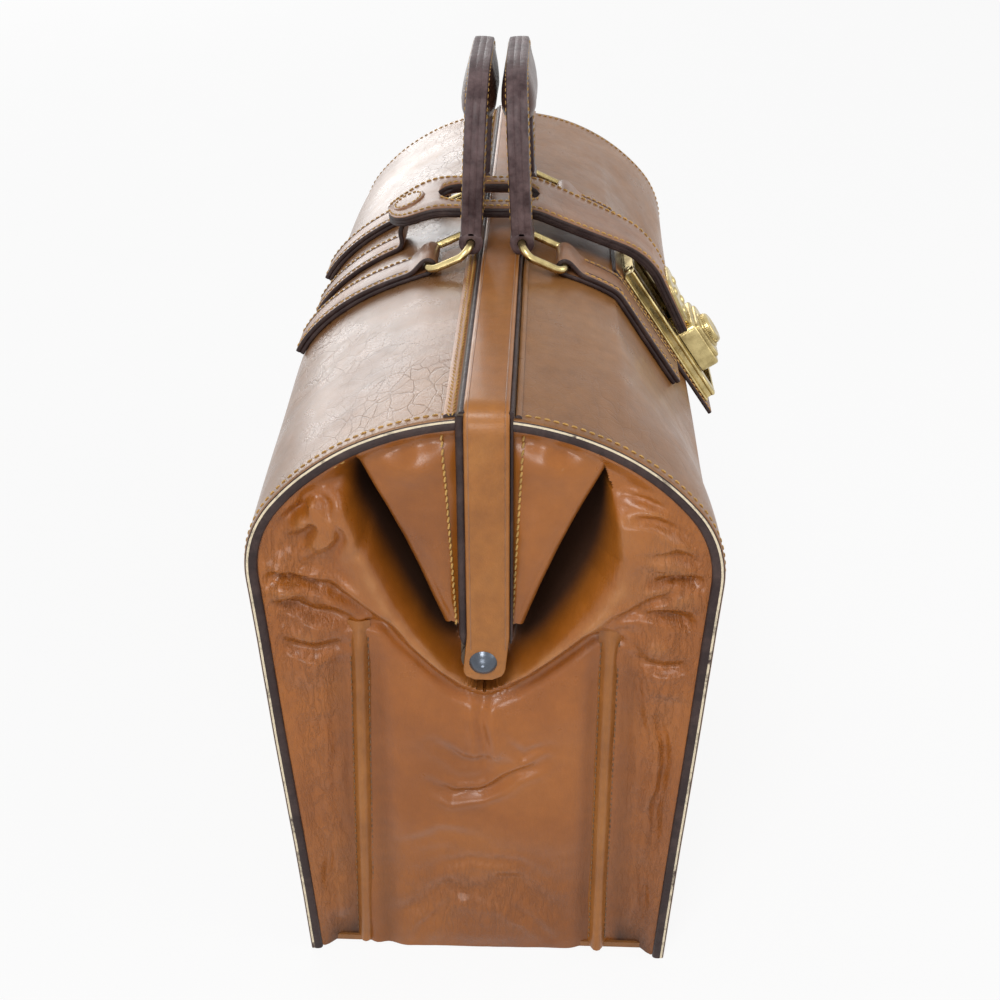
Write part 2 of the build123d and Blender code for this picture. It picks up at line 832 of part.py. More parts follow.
# Anchor strap: from under the rear tongue down to the back panel
anchor_low = at_angle(BACK, top_radius + surface_gap, split_angle)
with BuildPart() as anchor:
    with BuildSketch(Plane.YZ.offset(-anchor_width / 2)):
        lead = at_angle(BACK, top_radius + surface_gap + anchor_thickness, split_angle)
        with BuildLine():
            Polyline(
                (slot_back + anchor_lap, strap_under - surface_gap),
                (slot_back + anchor_lap, strap_under - surface_gap - anchor_thickness),
                (strap_back_end - anchor_turn, strap_under - surface_gap - anchor_thickness),
                anchor_low,
                lead,
                (strap_back_end, strap_under - surface_gap),
                close=True,
            )
        make_face()
    extrude(amount=anchor_width)
save(anchor, "strap_anchor")

with BuildPart() as anchor_tail:
    with BuildSketch(Plane.YZ.offset(-anchor_width / 2)):
        add(band(BACK, -surface_gap - anchor_thickness, -surface_gap, split_angle, back_tab_end))
    extrude(amount=anchor_width)
save(anchor_tail, "anchor_tail")

# Front part of the strap, which lifts off the lock's rail
flap_turn = joint_turn
flap_end = on_flat(rail_top + lock_gap, strap_end)
flap_slope = atan2(flap_turn[1] - flap_end[1], flap_turn[0] - flap_end[0])
flap_normal = (-sin(flap_slope), cos(flap_slope))
turn_half = (flap_slope - slope) / 2
outer_turn = (
    flap_turn[0] - strap_thickness * sin(slope + turn_half) / cos(turn_half),
    flap_turn[1] + strap_thickness * cos(slope + turn_half) / cos(turn_half),
)
flap_end_outer = (
    flap_end[0] + strap_thickness * flap_normal[0],
    flap_end[1] + strap_thickness * flap_normal[1],
)
with BuildPart() as strap_flap:
    with BuildSketch(Plane.YZ.offset(-strap_half_width)):
        with BuildLine():
            Polyline(
                off_joint(0, strap_joint_gap / 2),
                flap_turn,
                flap_end,
                flap_end_outer,
                outer_turn,
                off_joint(strap_thickness, strap_joint_gap / 2),
                close=True,
            )
        make_face()
    extrude(amount=2 * strap_half_width)
save(strap_flap, "strap_flap")

# Lock rail on the front panel, with rolled lips, end caps and rivets, over a leather backing
with BuildPart() as rail:
    y, z = on_flat(rail_seat, rail_upper_end)
    rail_plane = Plane(origin=(0, y, z), x_dir=(1, 0, 0), z_dir=(0, -cos(flat_slope), -sin(flat_slope)))
    with BuildSketch(rail_plane):
        with Locations((0, rail_plate / 2)):
            Rectangle(2 * rail_half_width, rail_plate)
        for edge in (LEFT, RIGHT):
            with Locations((edge * (rail_half_width - rail_wall_inset), rail_height / 2)):
                Rectangle(rail_wall, rail_height)
            lip_middle = edge * (rail_lip_inner + rail_lip_outer) / 2
            with Locations((lip_middle, (rail_height - rail_lip_height / 2))):
                RectangleRounded(rail_lip_outer - rail_lip_inner, rail_lip_height, rail_lip_round)
    extrude(amount=rail_length)
    for start in (0, rail_length - rail_cap):
        with BuildSketch(rail_plane.offset(start)):
            with Locations((0, rail_height / 2)):
                Rectangle(2 * (rail_half_width - rail_wall_inset), rail_height)
        extrude(amount=rail_cap)
save(rail, "lock_rail")

with BuildPart() as rail_rivets:
    for along in (rail_upper_end + rail_rivet_margin, rail_lower_end - rail_rivet_margin):
        for edge in (LEFT, RIGHT):
            head = flat_plane(rail_seat + rail_plate, along)
            with BuildSketch(head):
                with Locations((edge * rail_rivet_offset, 0)):
                    Circle(rail_rivet_radius)
            extrude(amount=rail_rivet_head)
save(rail_rivets, "rail_rivets")

backing_end = rail_lower_end + backing_past_rail
with BuildPart() as backing:
    with BuildSketch(Plane.YZ.offset(-backing_half_width)):
        backing_low = surface_gap + flat_rise
        with BuildLine():
            Polyline(
                on_flat(backing_low, tail_from),
                on_flat(backing_low + backing_thickness, tail_from),
                on_flat(backing_low + backing_thickness, backing_end),
                on_flat(backing_low, backing_end),
                close=True,
            )
        make_face()
    extrude(amount=2 * backing_half_width)
save(backing, "rail_backing")

# Lock on the strap's end: a box with a slider in the rail, a push button and a leaf on the strap
lock_base = rail_top + lock_stand
lock_start = strap_end + lock_gap + (strap_thickness + end_plate_thickness) * sin(flap_slope - flat_slope)
with BuildPart() as lock_body:
    with BuildSketch(flat_plane(lock_base, lock_start + lock_length / 2)):
        RectangleRounded(2 * lock_half_width, lock_length, lock_round)
    extrude(amount=lock_height)
    fillet(lock_body.faces().sort_by(Axis.Z)[-1].edges(), lock_edge_round)
    slider_length = lock_length - 2 * slider_margin
    with BuildSketch(flat_plane(lock_base, lock_start + lock_length / 2)):
        Rectangle(2 * slider_half_width, slider_length)
    extrude(amount=-slider_depth)
    with BuildSketch(flat_plane(lock_base + lock_height, lock_start + lock_length / 2)):
        Circle(button_radius + button_clearance)
    extrude(amount=-(button_height - button_proud + button_travel + button_clearance), mode=Mode.SUBTRACT)
save(lock_body, "lock_body")

with BuildPart() as button:
    with BuildSketch(flat_plane(lock_base + lock_height + button_proud, lock_start + lock_length / 2)):
        Circle(button_radius)
    extrude(amount=-button_height)
    fillet(button.edges().filter_by(GeomType.CIRCLE).sort_by(Axis.Z)[-1], button_round)
save(button, "lock_button")

flap_plane = Plane(
    origin=(0, *flap_end_outer),
    x_dir=(1, 0, 0),
    z_dir=(0, *flap_normal),
)
with BuildPart() as end_plate:
    with BuildSketch(flap_plane):
        with Locations((0, end_plate_length / 2)):
            RectangleRounded(2 * end_plate_half_width, end_plate_length, end_plate_round)
    extrude(amount=end_plate_thickness)
save(end_plate, "strap_end_plate")

with BuildPart() as end_rivets:
    for edge in (LEFT, RIGHT):
        with BuildSketch(flap_plane.offset(end_plate_thickness)):
            with Locations((edge * end_rivet_offset, end_rivet_setback)):
                Circle(end_rivet_radius)
        extrude(amount=end_rivet_height, taper=end_rivet_taper)
save(end_rivets, "strap_end_rivets")

for name, side in HALVES:
    bar, eye = ring_ends(side)
    print(name, "ring axis", [round(value, 3) for value in bar], "handle axis", [round(value, 3) for value in eye])
print("strap joint", [round(value, 3) for value in off_joint(strap_thickness, 0)])
print("rail foot", [round(value, 3) for value in on_flat(rail_seat, rail_lower_end)])
print("button axis", [round(value, 4) for value in flat_plane(0, 0).z_dir])
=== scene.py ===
from math import acos, asin, atan2, cos, degrees, hypot, pi, radians, sin, sqrt

import bmesh
import bpy
import numpy as np
from mathutils import Matrix, Vector, noise


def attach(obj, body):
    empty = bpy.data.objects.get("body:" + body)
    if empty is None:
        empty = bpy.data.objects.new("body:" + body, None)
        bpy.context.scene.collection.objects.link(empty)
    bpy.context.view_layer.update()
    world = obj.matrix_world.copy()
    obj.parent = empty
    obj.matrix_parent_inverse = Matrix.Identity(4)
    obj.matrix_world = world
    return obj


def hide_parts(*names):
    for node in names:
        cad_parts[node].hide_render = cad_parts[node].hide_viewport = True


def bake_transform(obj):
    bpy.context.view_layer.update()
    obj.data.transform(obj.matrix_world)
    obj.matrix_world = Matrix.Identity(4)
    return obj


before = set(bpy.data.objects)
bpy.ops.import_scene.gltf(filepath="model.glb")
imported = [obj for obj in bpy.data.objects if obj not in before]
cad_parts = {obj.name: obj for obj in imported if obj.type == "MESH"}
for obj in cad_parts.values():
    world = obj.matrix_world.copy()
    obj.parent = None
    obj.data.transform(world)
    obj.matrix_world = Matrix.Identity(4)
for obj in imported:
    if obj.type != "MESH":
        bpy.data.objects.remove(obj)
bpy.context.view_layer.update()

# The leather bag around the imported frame. Lengths are in millimetres until a mesh is made.
# X runs along the bag, -Y is the front with the lock and +Z is up. "Out" is away from the bag's middle.
MM = 0.001
FRONT, BACK = -1, 1
NEAR, FAR = -1, 1
HALVES = (("front", FRONT), ("back", BACK))
ENDS = (("near", NEAR), ("far", FAR))
X_WAY, Y_WAY, Z_WAY = np.eye(3)

# Body, as in the CAD part
half_length = 208.0
rivet_height = 172.0
top_radius = 108.0
shoulder_radius = 50.0
shoulder_half_depth = 94.0
base_half_depth = 82.0
panel_thickness = 3.0
edge_thickness = 4.9
end_plane = 202.0
flat_top_angle = 30.0
flat_foot_angle = 70.0
flat_half_length = 62.0

# Frame strip and hems
cover_front = -10.5
cover_back = 6.5
cover_top = 285.2
cover_face = 212.2
cover_thickness = 2.6
foot_corner = 4.5

# Tabs, rings and handles
handle_half_span = 47.0
tab_width = 23.0
ply = 2.1
tab_angle = 16.0
tab_tail_angle = 55.0
ring_distance = 112.85
ring_wire = 1.8
ring_half_width = 15.0
ring_corner = 3.5
ring_length = 22.0
ring_slope = 27.8
handle_width = 18.0
handle_thickness = 9.5
handle_rise = 66.0
handle_bend = 28.0
handle_lean = 2.6
handle_eye_outer = 5.5
handle_eye_inner = 2.1
grip_half_length = 32.0
grip_drop = -19.6
# half the grip's section at its middle, from the top down: (half width, height over the arch)
grip_profile = np.array([
    (1.0, 8.7), (3.4, 8.3), (4.9, 7.0), (5.6, 4.5), (6.3, 1.0), (7.2, -3.0),
    (7.9, -7.0), (8.2, -10.5), (7.9, -13.8), (6.8, -16.6), (4.8, -18.6), (2.2, -19.5),
])

# Strap, rail and lock
strap_half_width = 25.0
strap_end_half_width = 16.0
strap_thickness = 5.0
strap_under = 292.0
strap_back_end = 55.0
strap_droop = 8.5
strap_front_turn = -16.0
strap_end_along = 2.0
strap_tilt = 6.0
strap_turn_margin = 1.0
slot_half_width = 12.0
slot_back = 28.0
slot_front = -20.0
anchor_width = 22.0
anchor_thickness = 2.4
flat_rise = 0.4
backing_thickness = 2.0
backing_half_width = 24.0
backing_upper_end = -47.0
backing_lower_end = 45.0
rail_seat = 2.75
rail_upper_end = -40.0
rail_lower_end = 39.0
rail_half_width = 22.0
lip_inner = 13.0
lip_outer = 20.5
lock_gap = 0.3
lock_stand = 9.15
end_plate_thickness = 1.5
lock_length = 26.0
lock_half_width = 16.0
lock_height = 10.5
bore_radius = 8.3
bore_depth = 4.8


# ---- Small geometry tools

def smooth(value, low=0.0, high=1.0):
    """Smooth step of a number or array from low to high."""
    share = np.clip((np.asarray(value, float) - low) / (high - low), 0, 1)
    return share * share * (3 - 2 * share)


def rough(points, scale, seed, octaves=3):
    """Fractal noise, about -1 to 1, at points in millimetres; scale is the size of its largest features."""
    flat = np.asarray(points, float).reshape(-1, 3) / scale + seed * 7.31
    values = [noise.fractal(Vector(p), 1.0, 2.0, octaves) for p in flat]
    return np.array(values).reshape(np.asarray(points).shape[:-1])


class Shape:
    """Vertices and faces collected for one object, in millimetres, each face with its material's number."""

    def __init__(self):
        self.points = []
        self.faces = []
        self.slots = []
        self.shades = {}

    def add(self, points, faces, slots=0):
        start = len(self.points)
        self.points.extend(np.asarray(points, float).reshape(-1, 3).tolist())
        self.faces.extend([tuple(start + i for i in face) for face in faces])
        self.slots.extend([slots] * len(faces) if isinstance(slots, int) else slots)

    def grid(self, points, slots=0, wrap=False):
        """Quads over an array of rows and columns of points."""
        rows, columns = points.shape[:2]
        last = columns if wrap else columns - 1
        faces = []
        for i in range(rows - 1):
            for j in range(last):
                k = (j + 1) % columns
                faces.append((i * columns + j, i * columns + k, (i + 1) * columns + k, (i + 1) * columns + j))
        if not isinstance(slots, int):
            slots = [slots[j] for i in range(rows - 1) for j in range(last)]
        self.add(points, faces, slots)

    def tube(self, points, slots=0, cap_slot=None):
        """A closed section at each row, with a cap at both ends."""
        self.grid(points, slots, wrap=True)
        if cap_slot is None:
            cap_slot = slots if isinstance(slots, int) else slots[0]
        for row in (points[0], points[-1]):
            self.add(row, [tuple(range(len(row)))], cap_slot)

    def shade(self, name, values):
        """Give the points added last a value each, which their material reads by name."""
        values = np.asarray(values, float).ravel()
        held = self.shades.setdefault(name, {})
        start = len(self.points) - len(values)
        held.update(zip(range(start, len(self.points)), values.tolist()))

    def place(self, name, materials):
        """Make the object, with its faces pointing outward and its soft edges smooth."""
        mesh = bpy.data.meshes.new(name)
        mesh.from_pydata((np.array(self.points) * MM).tolist(), [], self.faces)
        for material in materials:
            mesh.materials.append(material)
        mesh.polygons.foreach_set("material_index", self.slots)
        mesh.polygons.foreach_set("use_smooth", [True] * len(mesh.polygons))
        for shade, held in self.shades.items():
            layer = mesh.attributes.new(shade, "FLOAT", "POINT")
            for index, value in held.items():
                layer.data[index].value = value
        work = bmesh.new()
        work.from_mesh(mesh)
        bmesh.ops.recalc_face_normals(work, faces=work.faces)
        work.to_mesh(mesh)
        work.free()
        mesh.set_sharp_from_angle(angle=radians(50))
        piece = bpy.data.objects.new(name, mesh)
        bpy.context.scene.collection.objects.link(piece)
        return piece


def rounded(width, height, radius, steps=4):
    """Closed section of a rounded rectangle about the origin, as (across, up) pairs."""
    radius = min(radius, width / 2 - 1e-3, height / 2 - 1e-3)
    points = []
    for turn, (right, up) in enumerate(((1, 1), (-1, 1), (-1, -1), (1, -1))):
        for k in range(steps + 1):
            angle = radians(90 * turn + 90 * k / steps)
            across = right * (width / 2 - radius) + radius * cos(angle)
            points.append((across, up * (height / 2 - radius) + radius * sin(angle)))
    return np.array(points)


def circle(radius, count):
    """Closed round section, as (across, up) pairs."""
    return [(radius * cos(2 * pi * k / count), radius * sin(2 * pi * k / count)) for k in range(count)]


def distances(path):
    """Distance along a path at each of its points."""
    return np.concatenate([[0], np.cumsum(np.linalg.norm(np.diff(path, axis=0), axis=1))])


def evenly(section, count):
    """The same closed section with evenly spaced points."""
    ring = np.vstack([section, section[:1]])
    run = distances(ring)
    at = np.linspace(0, run[-1], count, endpoint=False)
    return np.column_stack([np.interp(at, run, ring[:, k]) for k in (0, 1)])


def turned(centre, across, along, up, profile, count):
    """Rows of a round piece: (radius, height) pairs turned about up through its centre."""
    centre, across, along, up = (np.asarray(v, float) for v in (centre, across, along, up))
    return np.array([
        [centre + across * a + along * b + up * stand for a, b in circle(radius, count)]
        for radius, stand in profile
    ])


def stacked(size, corner, steps, levels, place):
    """Rows of a block: a rounded rectangle drawn in at (inset, height) levels; place puts them in space."""
    width, length = size
    return np.array([
        [place(x * (1 - 2 * inset / width), y * (1 - 2 * inset / length), height)
         for x, y in rounded(width, length, corner, steps)]
        for inset, height in levels
    ])


def tangents(path):
    """Unit direction at each point of a path."""
    step = np.gradient(np.asarray(path, float), axis=0)
    return step / np.linalg.norm(step, axis=1)[:, None]


def carried(path, section, axis):
    """Rows of points: a section carried along a path, its first number along axis and its second across."""
    path = np.asarray(path, float)
    section = np.asarray(section, float)
    if section.ndim == 2:
        section = np.broadcast_to(section, (len(path),) + section.shape)
    axis = np.asarray(axis, float)
    up = np.cross(tangents(path), axis)
    up /= np.linalg.norm(up, axis=1)[:, None]
    return path[:, None, :] + section[..., :1] * axis + section[..., 1:] * up[:, None, :]


def resample(path, spacing, values=None):
    """Points along a path at equal spacing, or there what values has a row of for each of its points."""
    path = np.asarray(path, float)
    values = path if values is None else values
    run = distances(path)
    at = np.linspace(0, run[-1], max(2, int(round(run[-1] / spacing)) + 1))
    return np.stack([np.interp(at, run, values[:, k]) for k in range(3)], axis=1)


def eased(path, kernel):
    """A path smoothed by a kernel of odd length."""
    reach = len(kernel) // 2
    padded = [np.pad(path[:, k], reach, mode="edge") for k in range(3)]
    return np.stack([np.convolve(line, kernel, mode="valid") for line in padded], axis=1)


def filleted(corners, radius, steps=8):
    """A path through corners with each inner corner rounded."""
    corners = [np.asarray(c, float) for c in corners]
    radii = radius if isinstance(radius, (list, tuple)) else [radius] * len(corners)
    path = [corners[0]]
    for i in range(1, len(corners) - 1):
        back = corners[i - 1] - corners[i]
        on = corners[i + 1] - corners[i]
        back, on = back / np.linalg.norm(back), on / np.linalg.norm(on)
        half = acos(max(-1.0, min(1.0, float(back @ on)))) / 2
        cut = radii[i] / max(1e-6, sin(half) / cos(half))
        for k in range(steps + 1):
            share = k / steps
            start = corners[i] + back * cut
            end = corners[i] + on * cut
            path.append((1 - share) ** 2 * start + 2 * share * (1 - share) * corners[i] + share ** 2 * end)
    path.append(corners[-1])
    return np.array(path)


# A stitch, in shares: how far along it each ring of points is, how thick it is there and how high it stands
stitch_along = (-1.0, -0.72, -0.3, 0.3, 0.72, 1.0)
stitch_thick = (0.45, 0.9, 1.0, 1.0, 0.9, 0.45)
stitch_height = (-0.55, 0.1, 0.45, 0.45, 0.1, -0.55)
stitch_sides = 6
stitch_faces = []
for low in range(0, stitch_sides * (len(stitch_along) - 1), stitch_sides):
    for j in range(stitch_sides):
        k = (j + 1) % stitch_sides
        stitch_faces.append((low + j, low + k, low + stitch_sides + k, low + stitch_sides + j))


def sew(shape, path, normals, slot, pitch=3.3, length=2.5, radius=0.38, lean=0.0):
    """A row of stitches along a path on a surface with these normals; lean is an angle in degrees."""
    path = np.asarray(path, float)
    ups = resample(path, pitch, np.broadcast_to(np.asarray(normals, float), path.shape))
    places = resample(path, pitch)
    ways = tangents(places)
    ups = ups - (ups * ways).sum(1)[:, None] * ways
    ups /= np.linalg.norm(ups, axis=1)[:, None]
    sides = np.cross(ways, ups)
    ways_leant = ways * cos(radians(lean)) + sides * sin(radians(lean))
    sides_leant = np.cross(ways_leant, ups)
    around = circle(1.0, stitch_sides)
    for place, way, side, up in zip(places, ways_leant, sides_leant, ups):
        points = []
        for a, t, h in zip(stitch_along, stitch_thick, stitch_height):
            middle = place + way * a * length / 2 + up * h * radius
            points.extend(middle + radius * t * (side * c + up * s) for c, s in around)
        shape.add(points, stitch_faces, slot)


# ---- Materials

def added(tree, kind, inputs=None, **settings):
    """A shader node with its settings, and its inputs set to values or linked to sockets."""
    node = tree.nodes.new(kind)
    for key, value in settings.items():
        setattr(node, key, value)
    for key, value in (inputs or {}).items():
        if isinstance(value, bpy.types.NodeSocket):
            tree.links.new(value, node.inputs[key])
        else:
            node.inputs[key].default_value = value
    return node


class Paint:
    """Builds one node material from named pieces."""

    def __init__(self, name):
        self.material = bpy.data.materials.new(name)
        self.material.use_nodes = True
        self.tree = self.material.node_tree
        self.shader = self.tree.nodes["Principled BSDF"]
        self.place = self.add("ShaderNodeTexCoord").outputs["Object"]

    def add(self, kind, inputs=None, **settings):
        return added(self.tree, kind, inputs, **settings)

    def stretched(self, scale, turn=(0, 0, 0)):
        """Object coordinates scaled and turned."""
        return self.add("ShaderNodeMapping", {0: self.place, "Scale": scale, "Rotation": turn}).outputs[0]

    def noise(self, scale, detail=4.0, rough=0.55, place=None, distortion=0.0):
        inputs = {"Scale": scale, "Detail": detail, "Roughness": rough, "Distortion": distortion}
        return self.add("ShaderNodeTexNoise", {"Vector": place or self.place, **inputs}).outputs["Fac"]

    def cells(self, scale, place=None, feature="F1"):
        inputs = {"Vector": place or self.place, "Scale": scale, "Randomness": 1.0}
        return self.add("ShaderNodeTexVoronoi", inputs, feature=feature).outputs["Distance"]

    def wave(self, inputs, **settings):
        return self.add("ShaderNodeTexWave", inputs, **settings).outputs["Fac"]

    def vector(self, inputs, **settings):
        return self.add("ShaderNodeVectorMath", inputs, **settings).outputs[0]

    def warped(self, amount, scale, place=None):
        """Coordinates pushed about by noise."""
        place = place or self.place
        noisy = self.add("ShaderNodeTexNoise", {"Vector": place, "Scale": scale, "Detail": 2.0})
        centred = self.vector({0: noisy.outputs["Color"], 1: (0.5, 0.5, 0.5)}, operation="SUBTRACT")
        moved = self.vector({0: centred, "Scale": amount}, operation="SCALE")
        return self.vector({0: place, 1: moved})

    def ramp(self, value, stops, colour=False):
        """Value mapped through (place, value) or (place, colour) stops."""
        node = self.add("ShaderNodeValToRGB", {"Fac": value})
        elements = node.color_ramp.elements
        while len(elements) < len(stops):
            elements.new(0.5)
        for element, (place, level) in zip(elements, stops):
            element.position = place
            element.color = (*level, 1) if isinstance(level, tuple) else (level, level, level, 1)
        return node.outputs["Color"]

    def math(self, operation, a, b=0.0, clamp=False):
        return self.add("ShaderNodeMath", {0: a, 1: b}, operation=operation, use_clamp=clamp).outputs[0]

    def mix(self, share, a, b, blend="MIX"):
        """Two colours mixed, or blended in another way."""
        a, b = ((*colour, 1) if isinstance(colour, tuple) else colour for colour in (a, b))
        mixer = self.add("ShaderNodeMix", {0: share, 6: a, 7: b}, data_type="RGBA", blend_type=blend)
        return mixer.outputs[2]

    def attribute(self, name):
        return self.add("ShaderNodeAttribute", attribute_name=name).outputs["Fac"]

    def bump(self, *layers):
        """Bump from (height socket, depth in metres) layers."""
        normal = None
        for height, depth in layers:
            inputs = {"Height": height, "Strength": 1.0, "Distance": depth}
            if normal is not None:
                inputs["Normal"] = normal
            normal = self.add("ShaderNodeBump", inputs).outputs[0]
        self.tree.links.new(normal, self.shader.inputs["Normal"])

    def set(self, **values):
        """Set or link the shader's own inputs; underscores stand for spaces."""
        for key, value in values.items():
            socket = self.shader.inputs[key.replace("_", " ")]
            if isinstance(value, bpy.types.NodeSocket):
                self.tree.links.new(value, socket)
            elif isinstance(value, tuple) and socket.type == "RGBA":
                socket.default_value = (*value, 1)
            else:
                socket.default_value = value
        return self


def leather(name, dark, middle, light, gloss=0.38, cracks=0.0, haze=0.0, shine=0.4):
    """Old smooth leather: blotched colour and pores, and if asked for a crackled finish and pale bloom."""
    paint = Paint(name)
    blotch = paint.noise(14, 5, 0.6, distortion=0.4)
    fine = paint.noise(160, 4, 0.65)
    colour = paint.ramp(blotch, ((0.28, dark), (0.5, middle), (0.72, light)), colour=True)
    mottled = paint.ramp(fine, ((0.3, 0.80), (0.7, 1.12)))
    colour = paint.mix(0.75, colour, mottled, "MULTIPLY")
    pores = paint.cells(1350, paint.warped(0.0012, 500))
    pore_height = paint.ramp(pores, ((0.0, 0.0), (0.45, 1.0)))
    layers = [(pore_height, 0.00006)]
    rough_share = paint.ramp(paint.noise(45, 5, 0.65), ((0.25, gloss - 0.08), (0.75, gloss + 0.14)))
    if cracks:
        place = paint.warped(0.02, 30, paint.stretched((1.0, 1.6, 1.6)))
        lines = paint.cells(95, place, "DISTANCE_TO_EDGE")
        finer = paint.cells(260, paint.warped(0.006, 90), "DISTANCE_TO_EDGE")
        worn = paint.ramp(paint.noise(9, 4, 0.6), ((0.38, 0.0), (0.6, 1.0)))
        crack = paint.math("MULTIPLY", paint.ramp(lines, ((0.0, 1.0), (0.045, 0.0))), worn)
        crackle = paint.math("MULTIPLY", paint.ramp(finer, ((0.0, 1.0), (0.07, 0.0))), worn)
        deep = tuple(c * 0.45 for c in dark)
        colour = paint.mix(paint.math("MULTIPLY", crack, 0.55 * cracks, True), colour, deep)
        layers.append((paint.math("SUBTRACT", 1.0, crack), 0.00025 * cracks))
        layers.append((paint.math("SUBTRACT", 1.0, crackle), 0.0001 * cracks))
    if haze:
        bloom = paint.ramp(paint.noise(22, 5, 0.6, distortion=0.6), ((0.4, 0.0), (0.75, haze)))
        colour = paint.mix(bloom, colour, (0.50, 0.44, 0.38))
    paint.bump(*layers)
    paint.set(Base_Color=colour, Roughness=rough_share, Specular_IOR_Level=shine)
    paint.set(Coat_Weight=0.35 * shine, Coat_Roughness=0.2)
    return paint.material


def painted_edge(name, colour, light, rubbed=(0.45, 0.8, 0.55)):
    """Cut edge with rubbed paint; rubbed is where the light colour starts, is full, and how strong it is."""
    paint = Paint(name)
    streaks = paint.noise(70, 6, 0.7)
    fine = paint.noise(420, 4, 0.7)
    start, full, strength = rubbed
    base = paint.mix(paint.ramp(streaks, ((start, 0.0), (full, strength))), colour, light)
    base = paint.mix(0.5, base, paint.ramp(fine, ((0.3, 0.6), (0.7, 1.25))), "MULTIPLY")
    paint.bump((fine, 0.0003), (streaks, 0.0002))
    paint.set(Base_Color=base, Roughness=paint.ramp(fine, ((0.3, 0.36), (0.7, 0.56))), Specular_IOR_Level=0.3)
    return paint.material


def thread(name, colour):
    """Waxed thread with a twist."""
    paint = Paint(name)
    place = paint.stretched((1, 1, 1), (0.6, 0.6, 0.6))
    twist = paint.wave({"Vector": place, "Scale": 700.0, "Distortion": 1.5})
    soil = paint.noise(60, 4, 0.6)
    base = paint.ramp(soil, ((0.3, tuple(c * 0.6 for c in colour)), (0.62, colour)), colour=True)
    paint.bump((twist, 0.00012))
    paint.set(Base_Color=base, Roughness=0.62)
    return paint.material


def metal(name, colour, dull, roughness, wear=0.5):
    """Polished metal with tarnish, fine scratches and soft dents."""
    paint = Paint(name)
    tarnish = paint.ramp(paint.noise(90, 5, 0.65), ((0.42, 0.0), (0.7, wear)))
    scratches = paint.noise(900, 3, 0.6, paint.stretched((0.15, 1.0, 1.0), (0.2, 0.1, 0.5)))
    base = paint.mix(tarnish, colour, dull)
    spots = paint.noise(300, 4, 0.6)
    paint.bump((scratches, 0.00003), (spots, 0.00005))
    paint.set(
        Base_Color=base,
        Metallic=1.0,
        Roughness=paint.ramp(paint.noise(130, 4, 0.6), ((0.3, roughness), (0.75, roughness + 0.18))),
    )
    return paint.material


def woven(name, colour):
    """Plain cotton lining."""
    paint = Paint(name)
    warp, weft = (paint.wave({"Vector": paint.place, "Scale": 420.0}, bands_direction=way) for way in "XZ")
    cloth = paint.math("MULTIPLY", warp, weft)
    stain = paint.noise(18, 4, 0.6)
    base = paint.ramp(stain, ((0.3, tuple(c * 0.7 for c in colour)), (0.7, colour)), colour=True)
    paint.bump((cloth, 0.0002))
    paint.set(Base_Color=base, Roughness=0.85)
    return paint.material


def soft_leather(name, dark, middle, light, wrinkled=1.0):
    """Supple polished leather: even colour, fine wrinkles where it is worked with painted shade along their
    lines, painted shade in the folds, and crests rubbed lighter that also carry a painted highlight.

    Attributes on the mesh say where each of these is: one for the painted shade,
    worn for the crests and wrinkle for the wrinkles.
    """
    paint = Paint(name)
    painted_shade, worn, busy = paint.attribute("painted_shade"), paint.attribute("worn"), paint.attribute("wrinkle")
    broad = paint.noise(9, 4, 0.55, distortion=0.3)
    colour = paint.ramp(broad, ((0.32, dark), (0.5, middle), (0.7, light)), colour=True)
    mottled = paint.ramp(paint.noise(190, 4, 0.6), ((0.3, 0.90), (0.7, 1.07)))
    colour = paint.mix(0.8, colour, mottled, "MULTIPLY")
    place = paint.warped(0.012, 40, paint.stretched((1.0, 2.1, 0.6)))
    ridges = paint.math("ABSOLUTE", paint.math("SUBTRACT", paint.noise(150, 5, 0.62, place), 0.5))
    ridge_height = paint.ramp(ridges, ((0.0, 0.0), (0.05, 0.55), (0.16, 1.0)))
    share = paint.math("MULTIPLY", busy, wrinkled, True)
    shade = paint.ramp(ridges, ((0.0, 0.86), (0.06, 1.0)))
    colour = paint.mix(paint.math("MULTIPLY", share, 0.7), colour, paint.mix(1.0, colour, shade, "MULTIPLY"))
    # crests rubbed lighter: partly real wear, partly a painted highlight
    patchy = paint.ramp(paint.noise(60, 4, 0.6), ((0.35, 0.2), (0.65, 1.0)))
    rubbed = paint.math("MULTIPLY", worn, patchy, True)
    colour = paint.mix(paint.math("MULTIPLY", rubbed, 0.45), colour, (0.46, 0.21, 0.07))
    # painted shade: near-black in the folds and pleats, as an attribute of the mesh says
    colour = paint.mix(paint.math("MULTIPLY", painted_shade, 0.93, True), colour, (0.012, 0.004, 0.002))
    nicks = paint.ramp(paint.cells(42, paint.warped(0.02, 20)), ((0.0, 1.0), (0.035, 0.0)))
    colour = paint.mix(paint.math("MULTIPLY", nicks, 0.35), colour, (0.46, 0.27, 0.14))
    pores = paint.ramp(paint.cells(1500, paint.warped(0.001, 500)), ((0.0, 0.0), (0.45, 1.0)))
    soft = paint.noise(26, 3, 0.5)
    paint.bump((soft, 0.0010), (paint.math("MULTIPLY", ridge_height, share), 0.00032), (pores, 0.00004))
    gloss = paint.ramp(paint.noise(30, 5, 0.65), ((0.3, 0.24), (0.72, 0.38)))
    rough_share = paint.math("ADD", gloss, paint.math("MULTIPLY", painted_shade, 0.4), True)
    paint.set(Base_Color=colour, Roughness=rough_share, Specular_IOR_Level=0.34)
    paint.set(Coat_Weight=0.33, Coat_Roughness=0.20, IOR=1.5)
    return paint.material


